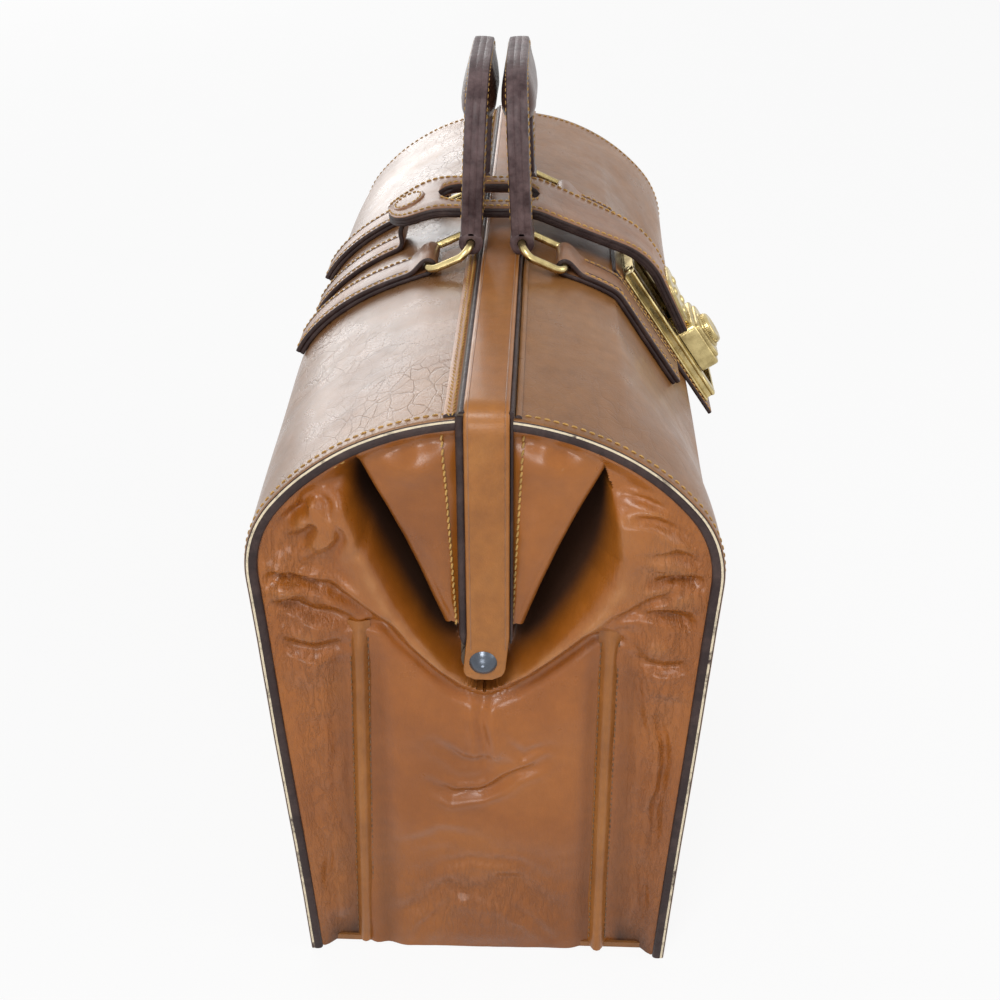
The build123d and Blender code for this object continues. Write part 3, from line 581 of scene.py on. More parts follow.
panel_paint = leather(
    "panel_leather", (0.19, 0.078, 0.022), (0.265, 0.112, 0.033), (0.33, 0.150, 0.050),
    gloss=0.31, cracks=0.25, shine=0.27,
)
back_paint = leather(
    "back_leather", (0.17, 0.072, 0.022), (0.245, 0.106, 0.035), (0.33, 0.165, 0.072),
    gloss=0.27, cracks=0.7, haze=0.15,
)
gusset_paint = soft_leather(
    "gusset_leather", (0.215, 0.061, 0.006), (0.30, 0.089, 0.009), (0.375, 0.122, 0.016)
)
flap_paint = soft_leather(
    "flap_leather", (0.21, 0.062, 0.008), (0.29, 0.090, 0.011), (0.365, 0.122, 0.019), wrinkled=0.3
)
cover_paint = leather(
    "cover_leather", (0.24, 0.080, 0.012), (0.32, 0.114, 0.018), (0.39, 0.155, 0.032), gloss=0.34
)
strap_paint = leather(
    "strap_leather", (0.16, 0.070, 0.030), (0.27, 0.120, 0.052), (0.37, 0.180, 0.085),
    gloss=0.33, cracks=0.4, shine=0.33,
)
handle_paint = leather(
    "handle_leather", (0.040, 0.018, 0.014), (0.080, 0.035, 0.024), (0.16, 0.078, 0.050),
    gloss=0.30, cracks=0.5,
)
edge_paint = painted_edge("painted_edge", (0.026, 0.013, 0.012), (0.12, 0.075, 0.065))
handle_edge_paint = painted_edge(
    "handle_edge", (0.035, 0.016, 0.017), (0.22, 0.15, 0.15), rubbed=(0.36, 0.72, 0.7)
)
cream_paint = painted_edge("worn_edge", (0.06, 0.035, 0.03), (0.74, 0.63, 0.45), rubbed=(0.35, 0.47, 1.0))
gold_thread = thread("gold_thread", (0.62, 0.36, 0.10))
dark_thread = thread("dark_thread", (0.22, 0.12, 0.06))
brass_paint = metal("brass", (0.62, 0.50, 0.24), (0.20, 0.14, 0.05), 0.2, wear=0.8)
steel_paint = metal("rivet_steel", (0.11, 0.125, 0.15), (0.05, 0.05, 0.055), 0.22)
frame_paint = metal("frame_steel", (0.13, 0.095, 0.07), (0.06, 0.045, 0.035), 0.38)
lining_paint = woven("lining_cloth", (0.30, 0.20, 0.12))
board_paint = woven("base_board", (0.26, 0.18, 0.11))


# ---- The bag's outline in the end view

shoulder_rise = sqrt((top_radius - shoulder_radius) ** 2 - (shoulder_half_depth - shoulder_radius) ** 2)
shoulder_centre = (shoulder_half_depth - shoulder_radius, rivet_height + shoulder_rise)


def outline():
    """Points (outward, up) and outward normals down one side of the end view, and arc length from the top."""
    across, height = shoulder_centre
    reach = hypot(across - base_half_depth, height)
    wall = atan2(height, across - base_half_depth) - asin(shoulder_radius / reach)
    top_end = atan2(across, shoulder_rise)
    points, normals = [], []
    for angle in np.linspace(0, top_end, 140):
        points.append((top_radius * sin(angle), rivet_height + top_radius * cos(angle)))
        normals.append((sin(angle), cos(angle)))
    for angle in np.linspace(top_end, pi - wall, 60)[1:]:
        points.append((across + shoulder_radius * sin(angle), height + shoulder_radius * cos(angle)))
        normals.append((sin(angle), cos(angle)))
    low = points[-1]
    for share in np.linspace(0, 1, 120)[1:]:
        points.append((low[0] + share * (base_half_depth - low[0]), low[1] * (1 - share)))
        normals.append((sin(wall), -cos(wall)))
    points, normals = np.array(points), np.array(normals)
    return points, normals, distances(points)


side_points, side_normals, side_length = outline()
side_angle = np.degrees(np.arctan2(side_points[:, 0], side_points[:, 1] - rivet_height))

# The flat that the lock's rail presses into the front panel, between two angles at the rivet
flat_top, flat_foot = (
    tuple(np.interp(angle, side_angle, side_points[:, k]) for k in (0, 1))
    for angle in (flat_top_angle, flat_foot_angle)
)
flat_slope = atan2(flat_top[1] - flat_foot[1], flat_foot[0] - flat_top[0])
flat_distance = flat_top[0] * sin(flat_slope) + (flat_top[1] - rivet_height) * cos(flat_slope)
beyond_flat = (
    side_points[:, 0] * sin(flat_slope) + (side_points[:, 1] - rivet_height) * cos(flat_slope)
    - flat_distance - flat_rise
)
lined_up = side_normals[:, 0] * sin(flat_slope) + side_normals[:, 1] * cos(flat_slope)
flat_sag = np.where(lined_up > 0.3, np.clip(beyond_flat, 0, None) / np.clip(lined_up, 0.3, None), 0)
# how far the back panel bulges
back_full = 4.0 * smooth(side_angle, 20, 52) * (1 - smooth(side_length, 175, 285))


def length_at(angle):
    """Arc length from the top of the outline at an angle at the rivet."""
    return float(np.interp(angle, side_angle, side_length))


side_end = float(side_length[-1])


def on_side(side, x, s, out=0.0, wavy=True):
    """Points and normals on a panel's outer face at places x along it and s down it, raised by out."""
    x, s, out = np.broadcast_arrays(np.asarray(x, float), np.asarray(s, float), np.asarray(out, float))
    across = np.interp(s, side_length, side_points[:, 0])
    up = np.interp(s, side_length, side_points[:, 1])
    normal_across = np.interp(s, side_length, side_normals[:, 0])
    normal_up = np.interp(s, side_length, side_normals[:, 1])
    if side == FRONT:
        pressed = smooth((half_length - np.abs(x)) / (half_length - flat_half_length))
        shift = -np.interp(s, side_length, flat_sag) * pressed
    else:
        shift = np.interp(s, side_length, back_full) * (1 - (x / half_length) ** 2)
    if wavy:
        inner = smooth(s, 20, 60) * (1 - 0.6 * smooth(np.abs(x), 150, half_length))
        waves = np.sin(x / 31 + s / 47 + side) * 0.35 + np.sin(x / 17 - s / 29 + 2 * side) * 0.18
        shift = shift + 0.9 * inner * (waves + np.sin(s / 21 + x / 90) * 0.3)
    across = across + normal_across * (shift + out)
    up = up + normal_up * (shift + out)
    points = np.stack([x, side * across, up], axis=-1)
    normals = np.stack([np.zeros_like(x), side * normal_across, normal_up], axis=-1)
    return points, normals


def on_flat(stand, along):
    """Front end-view point (y, z) at a height over the flat and a distance down along it."""
    distance = flat_distance + stand
    return (
        -(distance * sin(flat_slope) + along * cos(flat_slope)),
        rivet_height + distance * cos(flat_slope) - along * sin(flat_slope),
    )


def follows_half(piece, name):
    """The piece with its placement baked into its mesh."""
    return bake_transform(piece)


# ---- Panels with their sewn, painted end edges

panel_start = length_at(5.2)
edge_stitch_inset = 4.6
# round a panel's sewn edge, from its outer face to its inner one: (x, depth)
edge_profile = [
    (207.35, -0.10), (207.85, -0.42), (208.05, -0.85), (208.0, -1.75), (208.25, -2.3), (208.3, -3.4),
    (208.05, -4.6), (207.2, -5.25), (204.5, -5.3),
]
LEATHER, EDGE, CREAM, CLOTH, THREAD = range(5)


def panel_section():
    """Closed section across a panel, as (x, depth) pairs, with the material of the faces after each."""
    inner_x = half_length - 1.2
    outer = np.concatenate([
        np.linspace(-inner_x, -190, 14), np.linspace(-182, 182, 74), np.linspace(190, inner_x, 14),
    ])
    inner = np.linspace(203, -203, 64)
    points = [(x, 0.0) for x in outer] + edge_profile
    points += [(x, -panel_thickness) for x in inner] + [(-x, depth) for x, depth in reversed(edge_profile)]
    slots = [LEATHER] * len(outer) + [LEATHER, EDGE, CREAM] + [EDGE] * 6
    slots += [CLOTH] * (len(inner) - 1) + [EDGE] * 6 + [CREAM, EDGE, LEATHER, LEATHER]
    return np.array(points), slots


for name, side in HALVES:
    section, slots = panel_section()
    rows = np.concatenate([
        np.linspace(panel_start, 70, 34), np.linspace(71.5, 200, 90), np.linspace(204, side_end, 34),
    ])
    points, _ = on_side(side, section[None, :, 0], rows[:, None], section[None, :, 1])
    wander = rough(points * [0, 1, 1], 26, 3 + side, 2) * 0.35
    ends = smooth(np.abs(section[:, 0]), 204, 208)
    points[..., 0] += np.sign(section[:, 0]) * ends * wander
    panel = Shape()
    panel.tube(points, slots, cap_slot=EDGE)
    for end in (-1, 1):
        row = np.linspace(panel_start + 4, side_end - 3, 160)
        path, normals = on_side(side, end * (half_length - edge_stitch_inset), row, 0.05)
        sew(panel, path, normals, THREAD, pitch=3.5, length=2.5, radius=0.34)
    outer = back_paint if side == BACK else panel_paint
    piece = panel.place(f"{name}_panel", [outer, edge_paint, cream_paint, lining_paint, gold_thread])
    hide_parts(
        f"{name}_panel_lower", f"{name}_panel_upper", f"{name}_shoulder", f"{name}_welts_upper",
        f"{name}_lining_upper",
    )
    if side == FRONT:
        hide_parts("lining_lower", "end_welts_lower", "end_welts_shoulder")
    follows_half(piece, name)


# ---- End gussets: a soft lower part with a deep pleat to each side of the frame

# The roll of leather that runs from under the rivet past the rib's top and out into the shoulder
roll_lines = {
    FRONT: [
        (0, 152.5), (8, 156), (16.7, 162.5), (32.3, 177), (45.5, 190),
        (54, 205), (56.5, 218), (53.5, 233), (49, 247),
    ],
    BACK: [
        (0, 152.5), (8, 156), (16.7, 164), (29.4, 178.5), (37.7, 192),
        (46, 211), (52, 226.5), (56.5, 239), (61, 249.5),
    ],
}
# the free edge of the flap sewn to the frame's leg, from foot to top, as (across, up)
flap_edge = ((16.3, 184.0), (51.0, 262.5))
rib_offset = 53.0
rib_top = 184.0
gusset_thickness = 1.4


def beside(line, across, up):
    """Distance from points to a polyline, positive on its left, and how far along it the nearest place is."""
    line = np.array(line, float)
    best = np.full(np.shape(across), 1e9)
    share = np.zeros(np.shape(across))
    sign = np.ones(np.shape(across))
    count = len(line) - 1
    for i in range(count):
        a, b = line[i], line[i + 1]
        step = b - a
        t = np.clip(((across - a[0]) * step[0] + (up - a[1]) * step[1]) / (step @ step), 0, 1)
        gap = np.hypot(across - a[0] - t * step[0], up - a[1] - t * step[1])
        turn = step[0] * (up - a[1]) - step[1] * (across - a[0])
        closer = gap < best - 1e-9
        best = np.where(closer, gap, best)
        share = np.where(closer, (i + t) / count, share)
        sign = np.where(closer, np.where(turn >= 0, 1.0, -1.0), sign)
    return best * sign, share


def groove(y, z, line, width, depth):
    """Height of a soft crease along a polyline of (y, z) points: a narrow valley with a lip to each side."""
    gap, share = beside(line, y, z)
    fade = np.sin(np.clip(share, 0.04, 0.96) * pi) ** 0.7
    q = np.abs(gap) / width
    return depth * fade * (0.5 * np.exp(-((q - 2.0) ** 2) / 0.9) - np.exp(-q * q))


def puff(y, z, centre, size, turn, height):
    """Height of a soft bulge: its half sizes across and up, turned by an angle in degrees."""
    c, s = cos(radians(turn)), sin(radians(turn))
    u, v = y - centre[0], z - centre[1]
    q = ((u * c + v * s) / size[0]) ** 2 + ((v * c - u * s) / size[1]) ** 2
    return height * np.exp(-q ** 1.4)


# Creases and bulges that the folded leather has taken, as seen on the near end; the far end's are a bit off.
# A crease is its (y, z) line, width and depth; a puff is its centre, half sizes, turn in degrees and height.
creases = [
    ([(0.5, 148), (1.0, 128), (0.5, 103)], 2.2, 1.1),
    ([(25, 99), (14, 92), (2, 93), (-12, 102), (-27, 112)], 2.6, 1.5),
    ([(22, 121), (10, 112), (-4, 113)], 2.6, 0.7),
    ([(-8, 126), (-16, 116), (-27, 121)], 2.2, 0.6),
    ([(41, 184), (51, 192), (62, 202), (76, 206)], 2.8, 2.4),
    ([(-47, 188), (-58, 192), (-66, 199), (-80, 203)], 2.4, 1.3),
    ([(64, 250), (70, 238), (80, 228)], 2.4, 1.5),
    ([(54, 246), (64, 232), (78, 218)], 2.6, 1.6),
    ([(53, 5), (36, 22), (17, 37), (2, 34), (-14, 40), (-34, 20), (-49, 4)], 4.6, 1.0),
    ([(30, 47), (8, 56), (-16, 51), (-32, 40)], 2.6, 0.6),
    ([(36, 62), (20, 70), (2, 68)], 2.8, 0.5),
    ([(-6, 30), (-20, 20), (-30, 6)], 2.4, 0.9),
    ([(12, 32), (24, 18), (34, 4)], 2.4, 0.9),
    ([(-57, 190), (-68, 192), (-82, 188), (-91, 190)], 2.4, 1.7),
    ([(-60, 168), (-72, 166), (-88, 169)], 2.6, 1.2),
    ([(-66, 208), (-76, 210), (-90, 206)], 2.2, 1.4),
    ([(-63, 222), (-74, 222), (-85, 217)], 2.0, 1.3),
    ([(-56, 236), (-66, 235), (-76, 230)], 1.8, 1.2),
    ([(-54, 246), (-62, 244), (-70, 241)], 1.5, 0.8),
    ([(56, 186), (68, 188), (80, 194), (90, 194)], 2.4, 1.8),
    ([(60, 197), (72, 204), (84, 207), (91, 206)], 2.2, 1.9),
    ([(57, 173), (70, 171), (88, 176)], 2.4, 1.3),
    ([(70, 222), (66, 232), (68, 243)], 2.0, 1.5),
    ([(60, 216), (56, 228), (58, 240), (66, 246)], 2.4, 1.7),
    ([(80, 233), (72, 238), (62, 238)], 1.8, 1.2),
    ([(47, 222), (44, 236), (46, 250)], 2.4, 1.1),
    ([(63, 150), (66, 110), (65, 64)], 2.0, 0.7),
    ([(-63, 156), (-68, 120), (-66, 70)], 2.0, 0.8),
    ([(-72, 150), (-77, 112), (-73, 60)], 1.9, 0.9),
    ([(-80, 140), (-84, 104), (-79, 54)], 1.8, 0.7),
    ([(-68, 60), (-72, 34), (-68, 10)], 2.0, 0.8),
    ([(70, 70), (73, 40), (70, 14)], 2.0, 0.7),
]
puffs = [
    ((-67, 179), (13, 7.5), 12, 3.2), ((-82, 200), (11, 6), 10, 2.8), ((-77, 157), (11, 8), 0, 1.8),
    ((-75, 216), (10, 5), 20, 2.0), ((-67, 229), (9, 5), 30, 1.6), ((70, 180), (14, 7), -10, 2.4),
    ((82, 199), (11, 5), -20, 2.6), ((80, 213), (9, 5), -30, 2.2), ((76, 160), (12, 9), 0, 1.6),
    ((62, 233), (7, 13), 20, 2.6), ((0, 127), (18, 15), 0, 1.8), ((20, 78), (26, 13), 0, 1.2),
    ((-22, 72), (24, 16), 0, 1.3), ((0, 18), (34, 15), 0, 1.6), ((-30, 140), (16, 18), 0, 0.8),
    ((30, 140), (16, 18), 0, 0.8),
]


def gusset_surface(side, end, across, z):
    """How far the gusset stands out of the end plane, how much painted shade it gets,
    how far it is rubbed lighter with a painted highlight, and how wrinkled it is there.

    part is 0 at the flap's free edge and 1 at the roll of leather. sunk is the share of the pleat's full
    depth.
    """
    y = side * across
    mirrored = y if end == NEAR else y * 0.97 + 0.8
    u = z - rivet_height
    radius = np.hypot(across, u)
    gap, share = beside(roll_lines[side], across, z)
    (x0, z0), (x1, z1) = flap_edge
    past_flap = ((across - x0) * (z1 - z0) - (z - z0) * (x1 - x0)) / hypot(x1 - x0, z1 - z0)
    inner = np.clip(gap, 0, None)
    reach = np.clip(past_flap, 0, None)
    part = reach / np.maximum(reach + inner, 1e-3)
    depth = 31.0 * smooth(radius, 5, 26) * (1 - 0.86 * smooth(radius, 80, 101)) + 3.0
    sunk = (1 - part) ** (1.45 if side == FRONT else 2.0) * np.exp(-((reach / 27) ** 2))
    sunk = np.where(gap > 0, sunk, 0)
    above = smooth(share, 0.42, 0.62)
    width = 3.4 + 12.0 * above
    crest = (3.4 + 3.2 * smooth(share, 0.0, 0.35)) * (1 - smooth(share, 0.88, 1.0))
    outer = np.clip(-gap, 0, None)
    roll = crest * np.where(gap > 0, np.exp(-((inner / 10) ** 2)), np.exp(-((outer / width) ** 2)))
    valley = (3.2 - 2.9 * above) * (1 - smooth(share, 0.9, 1.0))
    roll -= valley * np.exp(-(((outer - 2.3 * width) / (0.8 * width)) ** 2)) * (gap < 0)
    beyond_rib = across - rib_offset
    ribside = np.exp(-(((beyond_rib - 7) / 5) ** 2)) + np.exp(-(((beyond_rib + 7) / 5) ** 2))
    height = roll - 2.3 * ribside * (1 - smooth(z, 150, 186))
    height += 1.6 * smooth(across, 58, 70) * smooth(z, 60, 150)
    for centre, size, turn, rise in puffs:
        height += 1.35 * puff(mirrored, z, centre, size, turn, rise)
    wander = 1.3 * np.sin(z / 8 + mirrored / 11) + 0.7 * np.sin(z / 3.7 - mirrored / 6)
    for line, wide, deep in creases:
        height += groove(mirrored + 0.5 * wander, z + 0.8 * wander, line, wide, 1.45 * deep)
    places = np.stack([np.full_like(z, 40.0 * end), y, z], axis=-1)
    height += 1.3 * rough(places, 46, 11, 2)
    busy = np.exp(-(((across - 76) / 20) ** 2 + ((z - 200) / 42) ** 2))
    busy += 0.7 * np.exp(-(((across - 72) / 12) ** 2)) * (1 - smooth(z, 150, 190))
    busy += 0.8 * np.exp(-(((z - 30) / 26) ** 2 + (across / 44) ** 2))
    busy = np.clip(busy + 0.12, 0, 1) * (1 - np.clip(2.5 * sunk, 0, 1))
    folds = 1.5 * rough(places * [1, 0.7, 1.5], 24, 5, 2)
    height += busy * (folds + 0.30 * rough(places * [1, 1.5, 0.85], 9, 6, 3))
    height = height * (1 - sunk) - depth * sunk
    # the bottom stands out between the ribs and tucks in beside them
    foot = 1 - smooth(z, 3, 26)
    height -= foot * 1.8 * np.exp(-(((across - 66) / 8) ** 2))
    height += 2.2 * foot * (1 - smooth(across, 50, 58))
    height = np.maximum(height, -1.3 - 40 * smooth(z, 18, 60))
    # painted shade deep in the pleat, beside the ribs and in the tucked corners at the foot, and the gusset
    # made darker towards the bottom
    dark = smooth(depth * sunk, 2.5, 13) * (gap > 0)
    dark += 0.21 * (1 - smooth(z, 10, 130)) + 0.26 * np.clip(ribside, 0, 1) * (1 - smooth(z, 150, 186))
    dark += 0.6 * np.exp(-((z / 13) ** 2)) * smooth(across, 57, 62) * (1 - smooth(across, 70, 80))
    # the roll's crest and whatever stands highest: rubbed lighter, and given a painted highlight
    worn = np.exp(-((gap / 2.2) ** 2)) * (1 - smooth(share, 0.55, 0.8)) + 0.5 * np.clip(height - 4.6, 0, 1)
    return height, dark, worn, busy


def inner_reach(angle):
    """Distance from the rivet to the inside of the sewn edge, or to the floor, at angles in degrees."""
    inset = side_points - side_normals * (edge_thickness - 0.5)
    turn = np.degrees(np.arctan2(inset[:, 0], inset[:, 1] - rivet_height))
    distance = np.hypot(inset[:, 0], inset[:, 1] - rivet_height)
    wall = np.interp(angle, turn, distance)
    corner = turn[-1]
    floor = (rivet_height - 0.4) / np.cos(np.radians(180 - np.maximum(angle, corner)))
    return np.where(angle > corner, floor, wall)


for end_name, end in ENDS:
    for name, side in HALVES:
        # finer steps where the folds are
        angles = np.concatenate([
            np.arange(17, 64, 0.5), np.arange(64, 122, 0.8), np.arange(122, 180.01, 0.55),
        ])
        angles[-1] = 180.0
        reach = inner_reach(angles)
        shares = np.concatenate([[0.02], np.linspace(0.04, 0.9, 120), np.linspace(0.906, 1.0, 26)])
        radius = reach[:, None] * shares[None, :]
        across = radius * np.sin(np.radians(angles))[:, None]
        z = rivet_height + radius * np.cos(np.radians(angles))[:, None]
        stand, dark, worn, busy = gusset_surface(side, end, across, z)
        # the leather turns out to meet the panel's edge over the last few millimetres
        side_wall = np.interp(z, side_points[::-1, 1], side_points[::-1, 0]) - edge_thickness - across
        to_edge = np.where(z < 195, side_wall, reach[:, None] - radius)
        flange = 1 - smooth(to_edge, 0.3, 8.5)
        stand = np.minimum(stand * (1 - flange) + 4.5 * flange, 7.6)
        outer = np.stack([end * (end_plane + stand), side * across, z], axis=-1)
        gusset = Shape()
        gusset.grid(outer)
        # the attributes carry the painted shade, the crests' rubbed wear with painted highlight, and the
        # wrinkles
        gusset.shade("painted_shade", dark)
        gusset.shade("worn", worn * (1 - flange))
        gusset.shade("wrinkle", busy)
        gusset.grid(outer - np.array([end * gusset_thickness, 0, 0]), 2)
        rows = np.linspace(length_at(31), side_end - 2, 150)
        path, normals = on_side(side, end * (half_length - 2.5), rows, -(edge_thickness + 1.2), wavy=False)
        normals = normals * -0.75 + np.array([end * 0.66, 0, 0])
        sew(gusset, path, normals, 1, pitch=3.4, length=2.4, radius=0.36)
        piece = gusset.place(f"{name}_gusset_{end_name}", [gusset_paint, gold_thread, lining_paint])
        follows_half(piece, name)
        if side == FRONT:
            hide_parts("left_gusset" if end == NEAR else "right_gusset")
        if end == NEAR:
            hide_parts(f"{name}_gusset_folds")


# ---- Flaps of the gusset that are sewn to the frame's legs, with a stitched hem

flap_inner = 9.4
flap_margin = 5.2
flap_outer_foot = 16.0
flap_foot = 12.0
flap_radius = top_radius - edge_thickness
flap_top_angle = 28.5
flap_edge_roll = 3.4
flap_rows = 64
flap_columns = 34


def flap_points(side, end):
    """Grid of points: across the flap from the leg to its free edge, which rolls in behind."""
    turn = np.radians([18, 36, 54, 72, 90, 90, 90])
    flat = np.zeros(flap_columns)
    shares = np.concatenate([np.linspace(0, 1, flap_columns), np.ones(len(turn))])
    out = np.concatenate([flat, flap_edge_roll * np.sin(turn)])
    back = np.concatenate([flat, flap_edge_roll * (1 - np.cos(turn))])
    back[-2:] = (flap_edge_roll + 5, flap_edge_roll + 12)
    start = degrees(asin(flap_inner / flap_radius))
    top_angles = np.radians(start + (flap_top_angle - start) * shares)
    top = np.column_stack([flap_radius * np.sin(top_angles), flap_radius * np.cos(top_angles)])
    foot_across = flap_inner + (flap_outer_foot - flap_inner) * shares
    foot = np.column_stack([foot_across, np.full(len(shares), flap_foot)])
    levels = np.linspace(0, 1, flap_rows)[:, None, None]
    grid = foot[None] * (1 - levels) + top[None] * levels
    level = levels[..., 0]
    share = shares[None, :]
    bow = 1.5 * np.sin(pi * level) * share
    across = grid[..., 0] - bow * 0.88 + 0.88 * (out[None] - flap_edge_roll * share)
    up = grid[..., 1] + bow * 0.47 - 0.47 * (out[None] - flap_edge_roll * share)
    belly = 2.2 * np.sin(pi * share) * np.sin(pi * level ** 0.8)
    crown = 3.4 * np.exp(-(((level - 0.84) / 0.1) ** 2)) * np.sin(pi * np.clip(share * 0.85 + 0.1, 0, 1))
    dent = -2.0 * np.exp(-(((share - 0.62) / 0.13) ** 2 + ((level - 0.93) / 0.05) ** 2))
    dent += -1.2 * np.exp(-(((share - 0.25) / 0.1) ** 2 + ((level - 0.95) / 0.04) ** 2))
    lip = smooth(level, 0.93, 1.0)
    places = np.stack([np.full_like(across, 30.0 * end), side * across, up], axis=-1)
    ripple = 0.7 * rough(places, 22, 21 + end * side, 3) * smooth(share, 0.15, 0.5)
    stand = (0.8 + belly + crown + dent + ripple) * (1 - lip) + 4.4 * lip - back[None]
    sheet = np.stack([end * (end_plane + stand), side * across, rivet_height + up], axis=-1)
    # behind the frame's leg the sheet runs on, so that nothing shows between them when the mouth is open
    leg = sheet[:, 0]
    behind = np.full(len(leg), end * (end_plane + 0.2))
    margin = np.column_stack([behind, leg[:, 1] - side * flap_margin, leg[:, 2]])
    return np.concatenate([margin[:, None], sheet], axis=1)


for end_name, end in ENDS:
    for name, side in HALVES:
        flap = Shape()
        points = flap_points(side, end)
        flap.grid(points)
        # painted shade on the free edge that rolls in behind, full where it has turned under
        rolled = np.concatenate([np.zeros(flap_columns + 1), [0.05, 0.15, 0.3, 0.5, 0.75, 1, 1]])
        flap.shade("painted_shade", np.broadcast_to(rolled, points.shape[:2]))
        sewn = points[1:-3, 5] + np.array([end * 0.7, side * (1.2 if side == BACK else 1.6), 0])
        sew(flap, sewn, (end, 0, 0), 1, pitch=3.0, length=2.6, radius=0.46, lean=12)
        piece = flap.place(f"{name}_flap_{end_name}", [flap_paint, gold_thread])
        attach(piece, f"{name}_half")
        if end == NEAR:
            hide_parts(f"{name}_gusset_flaps")

# The frame's hems: a dark binding down each leg, and along the top a folded band and a dark line by the strip,
# which on the back is the hem's painted edge and on the front a painted shadow line
for name, side in HALVES:
    hem = Shape()
    near_strip = cover_back - 0.8 if side == BACK else -cover_front - 0.4
    binding = 4.0 if side == BACK else 1.7
    face = 210.0 if side == BACK else 208.6
    for end in (-1, 1):
        middle = side * (near_strip + binding / 2)
        heights = (178.0, 178.6, 180.5, 200.0, 230.0, 258.0, 281.4)
        path = resample([(end * (face - 2.2), middle, height) for height in heights], 1.5)
        grow = np.clip(0.35 + np.arange(len(path)) / 4.0, 0, 1)[:, None, None]
        hem.tube(carried(path, rounded(binding, 4.4, 1.8)[None] * grow, Y_WAY), 1)
    width = 5.8 if side == BACK else 2.6
    start = length_at(4.35 if side == BACK else 6.5)
    xs = np.linspace(-206.5, 206.5, 120)
    band = [(0.0, 0.2), (0.2, 1.1), (0.9, 1.5), (width - 0.9, 1.5), (width - 0.1, 1.1), (width, 0.1)]
    rows = np.array([[on_side(side, x, start + s, out, wavy=False)[0] for s, out in band] for x in xs])
    hem.tube(rows, [1, 0, 0, 0, 0, 0] if side == BACK else [1, 3, 3, 3, 3, 3])
    # on the front this dark line is a painted shadow line along the strip's edge
    dark_width = 2.6 if side == BACK else 1.8
    dark_y = np.full(len(xs), side * (near_strip + dark_width / 2))
    line = np.column_stack([xs * 1.012, dark_y, np.full(len(xs), 281.7)])
    hem.tube(carried(line, rounded(dark_width, 2.8, 0.8), Y_WAY), 1)
    if side == BACK:
        for offset, lean in ((1.9, 24), (3.9, -24)):
            path, normals = on_side(side, xs, start + offset, 1.55, wavy=False)
            sew(hem, path, normals, 2, pitch=3.0, length=2.5, radius=0.3, lean=lean)
    piece = hem.place(f"{name}_hem_strip", [cover_paint, edge_paint, gold_thread, panel_paint])
    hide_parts(f"{name}_hem")
    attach(piece, f"{name}_half")


# ---- Ribs down the ends

rib_profile = np.array([
    (-4.6, -1.5), (-3.3, 0.4), (-2.4, 2.0), (-1.4, 3.4), (0, 3.9),
    (1.4, 3.4), (2.4, 2.0), (3.3, 0.4), (4.6, -1.5),
])

for end_name, end in ENDS:
    rib = Shape()
    for side in (FRONT, BACK):
        levels = np.linspace(1.5, rib_top, 60)
        # the front rib stands upright, the back one leans in toward its top
        ys = 2.0 - rib_offset + 0 * levels if side == FRONT else rib_offset + (4 - levels / 30)
        stand = gusset_surface(side, end, np.abs(ys), levels)[0]
        stand = np.convolve(np.pad(stand, 4, mode="edge"), np.ones(9) / 9, mode="valid")
        path = np.stack([end * (end_plane + stand - 0.3), ys, levels], axis=1)
        fade = (0.25 + 0.75 * smooth(rib_top - levels, 0, 14))[:, None, None]
        across, out = rib_profile[None, :, :1], rib_profile[None, :, 1:] * fade
        rib.tube(path[:, None] + across * Y_WAY + out * end * X_WAY)
        for offset in (3.7, -3.7):
            line = path + np.array([end * 0.4, offset, 0])
            sew(rib, line[2:-3], end * X_WAY, 1, pitch=3.2, length=2.2, radius=0.24)
    piece = rib.place(f"ribs_{end_name}", [cover_paint, dark_thread])
    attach(piece, "bag_body")
    if end == NEAR:
        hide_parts("gusset_ribs")


# ---- The strip over the frame, and the rivets

cover = Shape()
middle_y = (cover_front + cover_back) / 2
cover_half_width = (cover_back - cover_front) / 2
foot_height = rivet_height - 8.5
top_line = cover_top - cover_thickness / 2
side_line = cover_face - cover_thickness / 2
corners = [(-side_line, foot_height), (-side_line, top_line), (side_line, top_line), (side_line, foot_height)]
path = resample(filleted([(x, middle_y, z) for x, z in corners], 9.0, 12), 1.5)
rows = carried(path, rounded(2 * cover_half_width, cover_thickness, 1.15), Y_WAY)
height = path[:, 2]
# each foot has round corners and stands a little toward the back
from_end = np.clip(height - foot_height, 0, foot_corner)
foot = 1 - (foot_corner - np.sqrt(foot_corner ** 2 - (foot_corner - from_end) ** 2)) / cover_half_width
rows[..., 1] = middle_y + (rows[..., 1] - middle_y) * foot[:, None]
rows[..., 1] += np.interp(height, [rivet_height - 8, rivet_height + 12], [2.0, 0.0])[:, None]
cover.tube(rows)
out = np.cross(tangents(path), Y_WAY) * (cover_thickness / 2)
keep = height > rivet_height + 6
for edge in (-1, 1):
    line = path + edge * 6.9 * Y_WAY + out
    cover.tube(carried(line[keep], rounded(0.5, 0.35, 0.15, 2), Y_WAY), 1)
piece = cover.place("frame_strip", [cover_paint, strap_paint])
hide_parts("frame_cover")
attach(piece, "front_half")

rivets = Shape()
rivet_profile = (
    (0.01, 3.0), (1.4, 2.85), (2.8, 2.4), (4.0, 1.6), (4.9, 0.7), (5.35, 0.1), (5.5, -0.35), (5.0, -0.6),
)
for end in (-1, 1):
    head = turned((end * (cover_face + 0.1), 0, rivet_height), Y_WAY, Z_WAY, end * X_WAY, rivet_profile, 40)
    rivets.tube(head)
piece = rivets.place("rivet_heads", [steel_paint])
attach(piece, "bag_body")


# ---- Ring tabs, rings and handles

# materials of a strap-like piece: its faces, its cut edges and its thread
FACE, CUT, SEWN = range(3)


